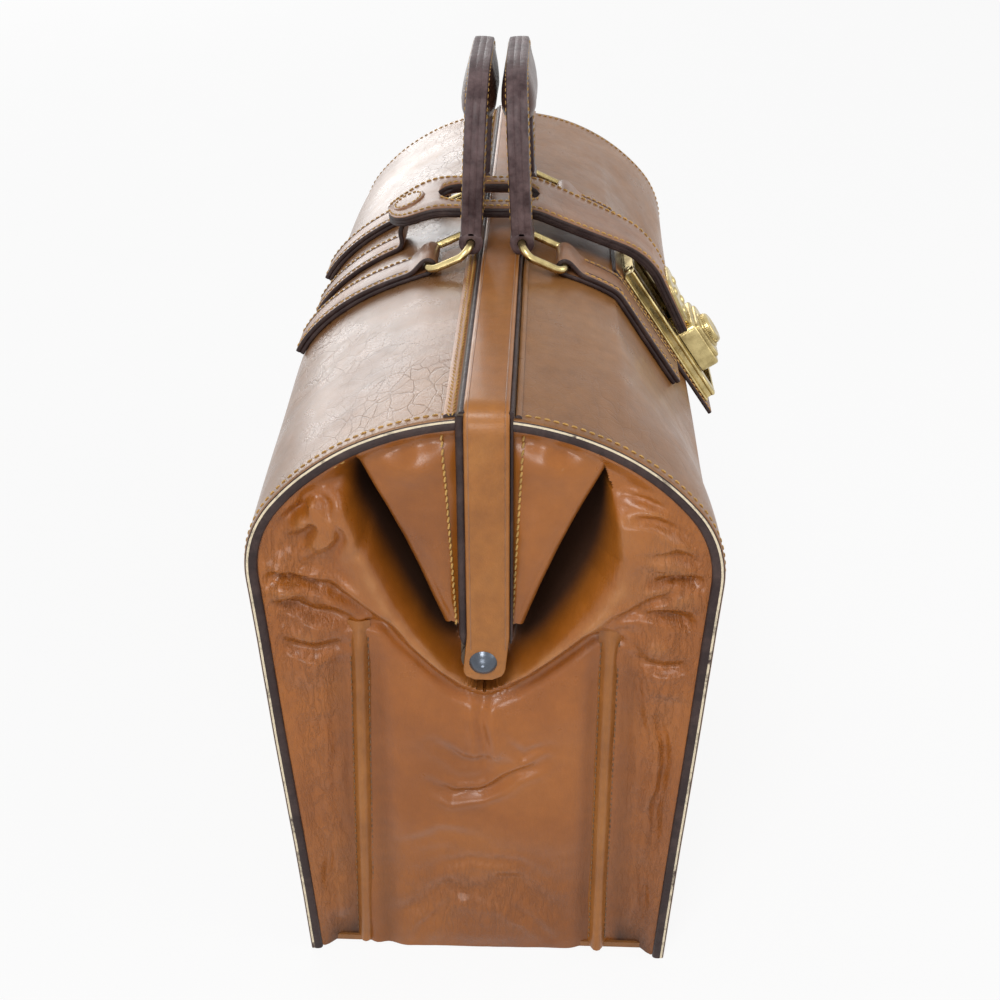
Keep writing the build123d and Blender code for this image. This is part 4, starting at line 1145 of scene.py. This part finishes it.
def strip_section(width, thickness, radius=0.8):
    """Section of a leather strip, with the material of the faces after each point."""
    section = rounded(width, thickness, radius, 3)
    slots = []
    for i in range(len(section)):
        middle = (section[i] + section[(i + 1) % len(section)]) / 2
        slots.append(CUT if abs(middle[0]) > width / 2 - radius * 0.75 else FACE)
    return section, slots


def end_view_path(side, points):
    """Points (outward, up) of a half's end view as a path in the plane x = 0."""
    return np.array([(0, side * a, b) for a, b in points], float)


def trim(shape, line, normals, half_width, inset):
    """Stitches and a pressed crease beside both edges of a leather strap, on a line along its middle."""
    for edge in (-1, 1):
        sewn = line + edge * (half_width - inset) * X_WAY
        sew(shape, sewn, normals, SEWN, pitch=3.2, length=2.4, radius=0.36)
        crease = line + edge * (half_width - 4.6) * X_WAY
        shape.tube(carried(crease, rounded(0.5, 0.3, 0.12, 2), X_WAY), CUT)


# the middle of the rings' bars, and the loop of a tab round it, in the end view
bar_across = ring_distance * sin(radians(tab_angle))
bar_up = rivet_height + ring_distance * cos(radians(tab_angle))
loop_radius = 3.35
loop_angles = np.radians(np.linspace(tab_angle + 35, tab_angle - 178, 22))
loop = [(bar_across + loop_radius * sin(a), bar_up + loop_radius * cos(a)) for a in loop_angles]

for name, side in HALVES:
    for end_name, end in ENDS:
        x = end * handle_half_span
        run = np.linspace(length_at(tab_tail_angle if side == BACK else 60), length_at(tab_angle + 4.5), 34)
        upper, _ = on_side(side, x, run, 0.2 + ply * 1.5)
        lower, _ = on_side(side, x, run[::-1], 0.2 + ply * 0.5)
        upper, lower = (np.column_stack([side * laid[:, 1], laid[:, 2]]) for laid in (upper, lower))
        path = resample(end_view_path(side, np.concatenate([upper, loop, lower[1:]])), 1.6)
        bent = eased(path, np.array([1, 2, 3, 2, 1.0]) / 9)
        bent[0], bent[-1] = path[0], path[-1]
        section, slots = strip_section(tab_width, ply, 0.7)
        tab = Shape()
        tab.tube(carried(bent, section, X_WAY) + x * X_WAY, slots, cap_slot=CUT)
        on_top, top_normals = on_side(side, x, run[1:-1], 0.2 + 2 * ply)
        trim(tab, on_top, top_normals, tab_width / 2, 2.8)
        piece = tab.place(f"{name}_tab_piece_{end_name}", [strap_paint, edge_paint, gold_thread])
        node = "left" if end == NEAR else "right"
        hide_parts(f"{name}_tab_{node}")
        if end == NEAR:
            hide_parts(f"{name}_tab_tails")
        follows_half(piece, name)

for name, side in HALVES:
    bar = np.array([0, side * bar_across, bar_up])
    inward = np.array([0, -side * cos(radians(ring_slope)), sin(radians(ring_slope))])
    lift = np.array([0, side * sin(radians(ring_slope)), cos(radians(ring_slope))])
    eye = bar + inward * ring_length
    for end_name, end in ENDS:
        middle = end * handle_half_span * X_WAY
        half = ring_half_width * X_WAY
        corners = [bar, bar + half, eye + half, eye - half, bar - half, bar]
        path = filleted([c + middle for c in corners], [0, ring_corner, 6.0, 6.0, ring_corner, 0], 8)
        share = np.clip(((path - bar - middle) @ inward) / ring_length, 0, 1)
        path = path + lift * (-2.4 * np.sin(pi * share))[:, None]
        path[:, 0] += np.sign(path[:, 0] - middle[0]) * 1.2 * np.sin(pi * share)
        ring = Shape()
        ring.tube(carried(resample(path, 1.2), circle(ring_wire, 20), np.cross(inward, X_WAY)))
        piece = ring.place(f"{name}_ring_piece_{end_name}", [brass_paint])
        node = "left" if end == NEAR else "right"
        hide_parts(f"{name}_ring_{node}")
        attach(piece, f"{name}_rings")

    # the arch, of plies glued together: its cut edge faces the bag's ends and the sky
    up = np.array([0, -side * sin(radians(handle_lean)), cos(radians(handle_lean))])
    thick = np.cross(X_WAY, up)
    corners = [
        eye + end * handle_half_span * X_WAY + up * rise
        for end, rise in ((NEAR, 3.6), (NEAR, handle_rise), (FAR, handle_rise), (FAR, 3.6))
    ]
    path = resample(filleted(corners, handle_bend * 1.15, 24), 2.0)
    half_t, half_w = handle_thickness / 2, handle_width / 2
    plies = [-half_t, -half_t + 0.5, -1.75, -1.5, -1.25, 1.25, 1.5, 1.75, half_t - 0.5, half_t]
    drop = [1.1, 0.25, 0.0, 0.16, 0.0, 0.0, 0.16, 0.0, 0.25, 1.1]
    cut = [(t, half_w - d) for t, d in zip(plies, drop)]
    section = cut + [(t, -w) for t, w in reversed(cut)]
    handle = Shape()
    handle.tube(carried(path, section, thick), ([CUT] * 9 + [FACE]) * 2, cap_slot=CUT)
    out = np.cross(tangents(path), thick)
    for face in (-1, 1):
        for edge in (-1, 1):
            line = path + thick * face * half_t + out * edge * (half_w - 2.3)
            sew(handle, line[4:-4], thick * face, SEWN, pitch=3.2, length=2.3, radius=0.28)
    # the eyes that the rings run through: a closed profile of (along the bag, radius) turned about the ring
    half_eye = [(half_w - 0.3, handle_eye_inner), (half_w, handle_eye_inner + 0.7)]
    half_eye += [(half_w, handle_eye_outer - 0.9), (half_w - 0.7, handle_eye_outer)]
    profile = [(-a, r) for a, r in half_eye] + half_eye[::-1]
    for end in (-1, 1):
        foot = eye + end * handle_half_span * X_WAY
        ways = [up * c + thick * s for c, s in circle(1.0, 36)]
        rows = [[foot + a * X_WAY + way * r for a, r in profile] for way in ways + ways[:1]]
        handle.grid(np.array(rows), [CUT] * 3 + [FACE] + [CUT] * 4, wrap=True)
    piece = handle.place(f"{name}_handle_arch", [handle_paint, handle_edge_paint, gold_thread])
    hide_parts(f"{name}_handle")
    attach(piece, f"{name}_handle")

    # the padded grip: leather drawn round the top of the arch and sewn below
    grip = Shape()
    rows = []
    for t in np.linspace(-1, 1, 47):
        swell = sqrt(max(0.0, 1 - abs(t) ** 6))
        heights = grip_profile[:, 1] * (0.5 + 0.5 * swell) + (1 - swell) * grip_drop / 4
        widths = grip_profile[:, 0] * (0.34 + 0.66 * swell)
        half_loop = list(zip(widths, heights))
        loop = half_loop + [(-w, h) for w, h in reversed(half_loop)]
        middle = eye + t * grip_half_length * X_WAY
        rows.append([middle + thick * w + up * (handle_rise + h) for w, h in loop])
    rows = np.array(rows)
    rows += rough(rows, 16, 40 + side, 2)[..., None] * 0.3 * thick
    grip.tube(rows)
    along_seam = np.linspace(-0.8, 0.8, 56)[:, None] * grip_half_length * X_WAY
    seam = eye + up * (handle_rise + grip_drop + 0.6) + along_seam
    sew(grip, seam, -up, 1, pitch=3.4, length=3.0, radius=0.5, lean=35)
    piece = grip.place(f"{name}_grip_pad", [handle_paint, gold_thread])
    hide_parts(f"{name}_grip")
    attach(piece, f"{name}_handle")


# ---- The anchor strap and the closing strap

anchor = Shape()
run = np.linspace(length_at(tab_tail_angle), length_at(25), 30)
laid, _ = on_side(BACK, 0, run, 0.2 + anchor_thickness / 2)
# from the back panel it rises over the hem to the strap
rising = [(49.5, 280.4), (48.0, 283.4), (43.0, 286.4), (36.0, 288.6), (29.5, 290.3)]
path = resample(end_view_path(BACK, [(y, z) for _, y, z in laid] + rising), 1.6)
section, slots = strip_section(anchor_width, anchor_thickness, 0.8)
anchor.tube(carried(eased(path, np.ones(7) / 7), section, X_WAY), slots, cap_slot=CUT)
on_top, top_normals = on_side(BACK, 0, run[1:-2], 0.2 + anchor_thickness)
trim(anchor, on_top, top_normals, anchor_width / 2, 2.6)
piece = anchor.place("anchor_strap", [strap_paint, edge_paint, gold_thread])
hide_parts("strap_anchor", "anchor_tail")
follows_half(piece, "back")

# The closing strap: path of its middle, from the rounded rear end over the mouth and down to the lock
flap_turn = on_flat(lock_stand - 0.1 + strap_tilt, rail_upper_end - strap_turn_margin)
flap_end = on_flat(lock_stand - 0.1, strap_end_along)
half_t = strap_thickness / 2
slope = atan2(strap_under - flap_turn[1], strap_front_turn - flap_turn[0])
end_slope = atan2(flap_turn[1] - flap_end[1], flap_turn[0] - flap_end[0])
turn_slope = (slope + end_slope) / 2
corners = [
    (0, strap_back_end, strap_under + half_t),
    (0, strap_front_turn - half_t * sin(slope / 2), strap_under + half_t),
    (0, flap_turn[0] - half_t * sin(turn_slope), flap_turn[1] + half_t * cos(turn_slope)),
    (0, flap_end[0] - half_t * sin(end_slope), flap_end[1] + half_t * cos(end_slope)),
]
strap_path = resample(filleted(corners, [0, 30, 40, 0], 16), 1.25)
strap_path[:, 2] -= strap_droop * smooth(strap_path[:, 1], 24, strap_back_end) ** 1.3
strap_up = np.cross(tangents(strap_path), X_WAY)
strap_run = distances(strap_path)


def half_width_at(run):
    """Half the strap's width at a distance from its rear end, which is round; it narrows toward the lock."""
    nose = strap_half_width * 0.93
    rounding = np.sqrt(np.clip(1 - (np.clip(nose - run, 0, nose) / nose) ** 2.2, 0.0004, 1))
    taper = smooth(run, strap_back_end - strap_front_turn, strap_run[-1] - 6)
    return strap_half_width * rounding * (1 - taper) + strap_end_half_width * taper


def slot_width_at(run):
    """Half the slot's width at a distance from the rear end: none outside the slot, and round at its ends."""
    start = strap_back_end - slot_back
    stop = strap_back_end - slot_front
    inside = np.clip(np.minimum(run - start, stop - run), 0, slot_half_width) / slot_half_width
    return slot_half_width * np.sqrt(np.clip(1 - (1 - inside) ** 2, 0, 1))


def strap_section(a, b):
    """Section of the strap from the slot's edge to its own; the cut edges show the seams between plies."""
    top, foot = half_t, -half_t
    soft = min(1.0, a / 2)
    return [
        (a, foot + soft * 0.6), (a, -0.1), (a + soft * 0.16, 0), (a, 0.1),
        (a, top - soft), (a + soft * 0.3, top - soft * 0.3), (a + soft, top),
        (a + (b - a) * 0.5, top + 0.25), (b - 1.0, top), (b - 0.3, top - 0.3), (b, top - 1.0),
        (b, 0.95), (b - 0.3, 0.75), (b, 0.55), (b, -0.75), (b - 0.3, -0.95), (b, -1.15),
        (b, foot + 0.6), (b - 0.6, foot), (a + soft * 0.6, foot),
    ]


strap = Shape()
outer_edge = half_width_at(strap_run)
inner_edge = slot_width_at(strap_run)
outer_seam = [i for i in range(len(strap_path) - 3) if outer_edge[i] > 6]
inner_seam = [i for i in range(len(strap_path)) if inner_edge[i] > 4]
for edge in (-1, 1):
    rows = [
        [place + edge * p * X_WAY + up * q for p, q in strap_section(a, b)]
        for place, up, a, b in zip(strap_path, strap_up, inner_edge, outer_edge)
    ]
    strap.tube(np.array(rows), [CUT] * 5 + [FACE] * 4 + [CUT] * 9 + [FACE] * 2, cap_slot=CUT)
    for keep, across, lean in ((outer_seam, outer_edge - 3.2, 8), (inner_seam, inner_edge + 3.0, -8)):
        seam = strap_path[keep] + edge * across[keep][:, None] * X_WAY + strap_up[keep] * (half_t + 0.12)
        sew(strap, seam, strap_up[keep], SEWN, pitch=3.3, length=2.7, radius=0.42, lean=lean)
# a round patch on the rear end, over the anchor strap's fixing
patch_at = int(np.argmin(np.abs(strap_run - 11.5)))
patch_up = strap_up[patch_at]
patch_centre = strap_path[patch_at] + patch_up * (half_t + 0.1)
patch_ways = (patch_centre, 1.25 * X_WAY, np.cross(patch_up, X_WAY), patch_up)
strap.tube(turned(*patch_ways, ((0.05, 1.15), (4, 1.15), (7.6, 1.0), (8.4, 0.55), (8.6, -0.2)), 40))
seam = turned(*patch_ways, ((6.9, 1.05),), 59)[0]
sew(strap, np.vstack([seam, seam[:1]]), patch_up, SEWN, pitch=2.9, length=2.2, radius=0.34)
piece = strap.place("closing_strap", [strap_paint, edge_paint, gold_thread])
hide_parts("strap_rear", "strap_flap")
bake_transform(piece)


# ---- The lock: backing, rail, box with its button, and the leaf on the strap

flat_up = np.array([0, -sin(flat_slope), cos(flat_slope)])
flat_down = np.array([0, -cos(flat_slope), -sin(flat_slope)])


def flat_point(x, stand, along):
    """Point over the flat, in millimetres."""
    return np.array([x, *on_flat(stand, along)])


def flat_line(x, stand, alongs):
    """Points down the flat at one place across it and one height over it."""
    return np.array([flat_point(x, stand, a) for a in alongs])


backing = Shape()
section, slots = strip_section(2 * backing_half_width, backing_thickness, 0.8)
alongs = np.linspace(backing_upper_end, backing_lower_end, 60)
path = flat_line(0, flat_rise + 0.15 + backing_thickness / 2, alongs)
backing.tube(carried(path, section, X_WAY), slots, cap_slot=CUT)
alongs = np.linspace(backing_upper_end + 2, backing_lower_end - 2, 60)
for edge in (-1, 1):
    seam = flat_line(edge * (backing_half_width - 1.0), flat_rise + 0.2 + backing_thickness, alongs)
    sew(backing, seam, flat_up, SEWN, pitch=3.2, length=2.3, radius=0.34)
piece = backing.place("rail_backing_piece", [strap_paint, edge_paint, gold_thread])
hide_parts("rail_backing")
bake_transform(piece)

rail = Shape()
rail_ends = (rail_upper_end, rail_lower_end)
alongs = np.array([
    rail_upper_end, rail_upper_end + 0.6, *np.linspace(rail_upper_end + 2, rail_lower_end - 2, 60),
    rail_lower_end - 0.6, rail_lower_end,
])
lip_middle = (lip_inner + lip_outer) / 2
lip_half = (lip_outer - lip_inner) / 2
for edge in (-1, 1):
    # rolled lip: a half-round bar, with small notches on its outer side
    rows = []
    for a in alongs:
        shrink = 0.8 if a in rail_ends else 1.0
        notch = 0.7 * (np.exp(-((a + 12) / 1.2) ** 2) + np.exp(-((a - 27) / 1.2) ** 2))
        row = []
        for c, s in circle(1.0, 24):
            across = lip_half * shrink * (abs(c) ** 0.8) * (1 if c > 0 else -1)
            across = lip_middle + across - notch * max(0, c)
            stand = rail_seat + 4.75 + 1.25 * shrink * (abs(s) ** 0.9) * (1 if s > 0 else -1)
            row.append(flat_point(edge * across, stand, a))
        rows.append(row)
    rail.tube(np.array(rows))
    wall = [(18.9, 0.0), (18.9, 4.2), (17.6, 4.2), (17.6, 0.0)]
    rail.tube(np.array([[flat_point(edge * p, rail_seat + q, a) for p, q in wall] for a in rail_ends]))
    bead = flat_line(edge * (lip_inner + 0.2), rail_seat + 5.2, alongs)
    rail.tube(carried(bead, circle(0.55, 10), X_WAY))
plate = rounded(2 * rail_half_width, 1.3, 0.5, 3)
steps = (rail_upper_end, rail_upper_end + 1, 0, rail_lower_end - 1, rail_lower_end)
rail.tube(carried(flat_line(0, rail_seat + 0.65, steps), plate, X_WAY))
cap_profile = ((0.05, 0.7), (2.0, 0.6), (2.6, 0.3), (2.8, -0.3))
head_profile = ((0.05, 0.85), (1.0, 0.8), (1.8, 0.55), (2.3, 0.1), (2.4, -0.3))
for cap_at, way in zip(rail_ends, (1, -1)):
    cap = rounded(2 * 18.5, 5.6, 1.2, 4)
    path = flat_line(0, rail_seat + 3.0, [cap_at + way * a for a in (0.0, 0.3, 1.3, 1.6)])
    scale = np.array([0.94, 1.0, 1.0, 0.94])[:, None, None]
    rail.tube(carried(path, cap[None] * scale, X_WAY))
    for x in (-13.5, 13.5):
        middle = flat_point(x, rail_seat + 3.0, cap_at)
        rail.tube(turned(middle, X_WAY, flat_up * 0.9, -way * flat_down, cap_profile, 24))
for a in (rail_upper_end + 8, rail_lower_end - 8):
    for x in (-7.8, 7.8):
        middle = flat_point(x, rail_seat + 1.3, a)
        rail.tube(turned(middle, X_WAY, flat_down, flat_up, head_profile, 24))
piece = rail.place("rail_brass", [brass_paint])
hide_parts("lock_rail", "rail_rivets")
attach(piece, "lock_rail")

lock = Shape()
plate_lean = flat_slope - end_slope
lock_start = strap_end_along + lock_gap + (strap_thickness + end_plate_thickness) * sin(plate_lean)
lock_middle = lock_start + lock_length / 2
lock_top = lock_stand + lock_height
lock_ways = (flat_point(0, lock_top, lock_middle), X_WAY, flat_down, flat_up)
rows = []
for inset, stand in (
    (0.0, -lock_height), (0.0, -2.8), (0.14, -2.3), (0.5, -1.8), (1.2, -1.6), (2.5, -1.6),
    (2.5, -0.9), (2.6, -0.5), (2.9, -0.2), (3.4, 0.0),
):
    section = rounded(2 * (lock_half_width - inset), lock_length - 2 * inset, 3.2 - 0.25 * inset, 6)
    rows.append([flat_point(p, lock_top + stand, lock_middle + q) for p, q in evenly(section, 96)])
facing = np.arctan2(*evenly(rounded(2 * lock_half_width - 7, lock_length - 7, 2.4, 6), 96).T[::-1])
bore = ((bore_radius, 0.0), (bore_radius, -2.0), (bore_radius, -bore_depth), (0.05, -bore_depth))
for radius, stand in bore:
    rows.append([
        flat_point(radius * cos(angle), lock_top + stand, lock_middle + radius * sin(angle))
        for angle in facing
    ])
lock.tube(np.array(rows))
# the slider under the box, between the rail's lips
slider_top = lock_stand + 1
levels = ((0.0, lock_stand - 4.3), (0.0, slider_top - 0.4), (0.048, slider_top - 0.24))
levels += ((0.16, slider_top - 0.08), (0.4, slider_top), (6.6, slider_top))
slider = stacked((24, lock_length - 4), 1.0, 6, levels, lambda x, y, z: flat_point(x, z, lock_middle + y))
lock.tube(slider)
collar = ((9.6, -0.2), (9.6, 0.5), (9.2, 0.9), (8.6, 0.9), (8.35, 0.4), (8.35, -1.0))
lock.grid(turned(*lock_ways, collar, 48), wrap=True)
piece = lock.place("lock_box", [brass_paint])
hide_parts("lock_body")
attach(piece, "strap_flap")

button = Shape()
profile = (
    (8.0, -2.5), (8.0, 2.4), (7.75, 3.1), (7.2, 3.6), (6.2, 3.85), (4.6, 3.75), (3.4, 3.45), (0.05, 3.35),
)
button.tube(turned(*lock_ways, profile, 48))
for c, s in circle(1.0, 48):
    x, along = 8.0 * c, lock_middle + 8.0 * s
    ridge = np.array([flat_point(x, lock_top + stand, along) for stand in (0.2, 1.2, 2.3)])
    way = c * X_WAY + s * flat_down
    button.tube(carried(ridge, circle(0.24, 6), np.cross(way, flat_up)))
piece = button.place("lock_knob", [brass_paint])
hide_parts("lock_button")
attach(piece, "lock_button")

leaf = Shape()
flap_up = np.array([0, -sin(end_slope), cos(end_slope)])
flap_down = np.array([0, -cos(end_slope), -sin(end_slope)])
flap_top = np.array([0, *flap_end]) + flap_up * (strap_thickness + 0.1)


def leaf_point(x, y, height):
    """Point over the leaf's middle, which is 13 mm back from the strap's end."""
    return flap_top + x * X_WAY - flap_down * (13.0 - y) + flap_up * height


levels = ((0, 0), (0, 0.9), (0.3, 1.3), (0.9, 1.5), (5, 1.5))
leaf.tube(stacked((28.0, 26.0), 6.3, 8, levels, leaf_point))
head_profile = ((0.05, 1.1), (1.2, 1.0), (2.1, 0.6), (2.6, 0.0))
for x in (-7, 7):
    for back in (18.2, 7.0):
        middle = flap_top + x * X_WAY - flap_down * back + flap_up * 1.5
        leaf.tube(turned(middle, X_WAY, -flap_down, flap_up, head_profile, 24))
piece = leaf.place("strap_leaf", [brass_paint])
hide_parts("strap_end_plate", "strap_end_rivets")
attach(piece, "strap_flap")


# ---- CAD nodes that stay: frames, rivets, spacers and base, with node materials

for node, paint in (
    ("front_frame", frame_paint), ("back_frame", frame_paint), ("hinge_rivets", steel_paint),
    ("hinge_spacers", flap_paint), ("base_panel", panel_paint), ("base_board", board_paint),
):
    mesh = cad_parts[node].data
    mesh.materials.clear()
    mesh.materials.append(paint)


# ---- Floor, light and camera

floor_white = 0.90
fill_light = 0.36


def seen_directly(tree):
    """1 for what the camera sees, also in a mirror or through glass, and 0 for light that falls on things."""
    rays = added(tree, "ShaderNodeLightPath").outputs
    seen = rays["Is Camera Ray"]
    for kind in ("Is Glossy Ray", "Is Transmission Ray"):
        seen = added(tree, "ShaderNodeMath", {0: seen, 1: rays[kind]}, operation="MAXIMUM").outputs[0]
    return seen


def floor_material():
    """Pale floor that reads white away from the object and keeps its soft shadow."""
    paint = Paint("floor")
    grain = paint.noise(8, 3, 0.5)
    paint.set(Base_Color=paint.ramp(grain, ((0.3, 0.70), (0.7, 0.73))), Roughness=0.9)
    glow = paint.add("ShaderNodeEmission", {"Color": (1, 1, 1, 1), "Strength": 1.0}).outputs[0]
    share = paint.math("MULTIPLY", seen_directly(paint.tree), floor_white)
    both = paint.add("ShaderNodeMixShader", {0: share, 1: paint.shader.outputs[0], 2: glow})
    paint.tree.links.new(both.outputs[0], paint.tree.nodes["Material Output"].inputs["Surface"])
    return paint.material


bpy.ops.mesh.primitive_plane_add(size=12, location=(0, 0, -0.0002))
floor = bpy.context.object
floor.name = "floor"
floor.data.materials.append(floor_material())

world = bpy.data.worlds.new("studio")
bpy.context.scene.world = world
world.use_nodes = True
tree = world.node_tree
background = tree.nodes["Background"]
strength = added(tree, "ShaderNodeMix", {0: seen_directly(tree), 2: fill_light, 3: 1.0})
background.inputs["Color"].default_value = (1, 1, 1, 1)
tree.links.new(strength.outputs[0], background.inputs["Strength"])


def lamp(name, place, target, size, power):
    """A soft area lamp that points at a target, in metres."""
    light = bpy.data.lights.new(name, "AREA")
    light.size = size
    light.energy = power
    holder = bpy.data.objects.new(name, light)
    holder.location = place
    holder.rotation_euler = (Vector(target) - Vector(place)).to_track_quat("-Z", "Y").to_euler()
    holder.visible_camera = False
    bpy.context.scene.collection.objects.link(holder)
    return holder


lamp("back_window", (3.1, 1.4, 1.05), (0.05, 0, 0.2), 2.2, 42)
lamp("front_soft", (-0.3, -1.4, 1.0), (0, 0, 0.15), 1.0, 7)
lamp("near_window", (-1.15, 0.25, 1.6), (-0.2, 0, 0.1), 0.55, 14)
lamp("near_low", (-1.3, 0.12, 0.36), (-0.2, 0, 0.12), 0.4, 3.4)

# The camera stands off the near end and looks along the bag and down, the way the photo was taken
camera_place = (-0.662, -0.023, 0.514)
yaw, pitch, roll = radians(2.9), radians(30.5), radians(-0.6)
camera_data = bpy.data.cameras.new("camera")
camera_data.lens = 50.4
camera_data.sensor_width = 36.0
camera_data.shift_x = 0.018
camera_data.shift_y = -0.002
camera_data.clip_start = 0.01
camera = bpy.data.objects.new("camera", camera_data)
bpy.context.scene.collection.objects.link(camera)
forward = Vector((cos(yaw) * cos(pitch), sin(yaw) * cos(pitch), -sin(pitch)))
level_right = forward.cross(Vector((0, 0, 1))).normalized()
level_up = level_right.cross(forward)
right = level_right * cos(roll) + level_up * sin(roll)
up = level_up * cos(roll) - level_right * sin(roll)
pose = Matrix((right, up, -forward)).transposed().to_4x4()
pose.translation = camera_place
camera.matrix_world = pose
bpy.context.scene.camera = camera
bpy.context.scene.view_settings.view_transform = "Standard"
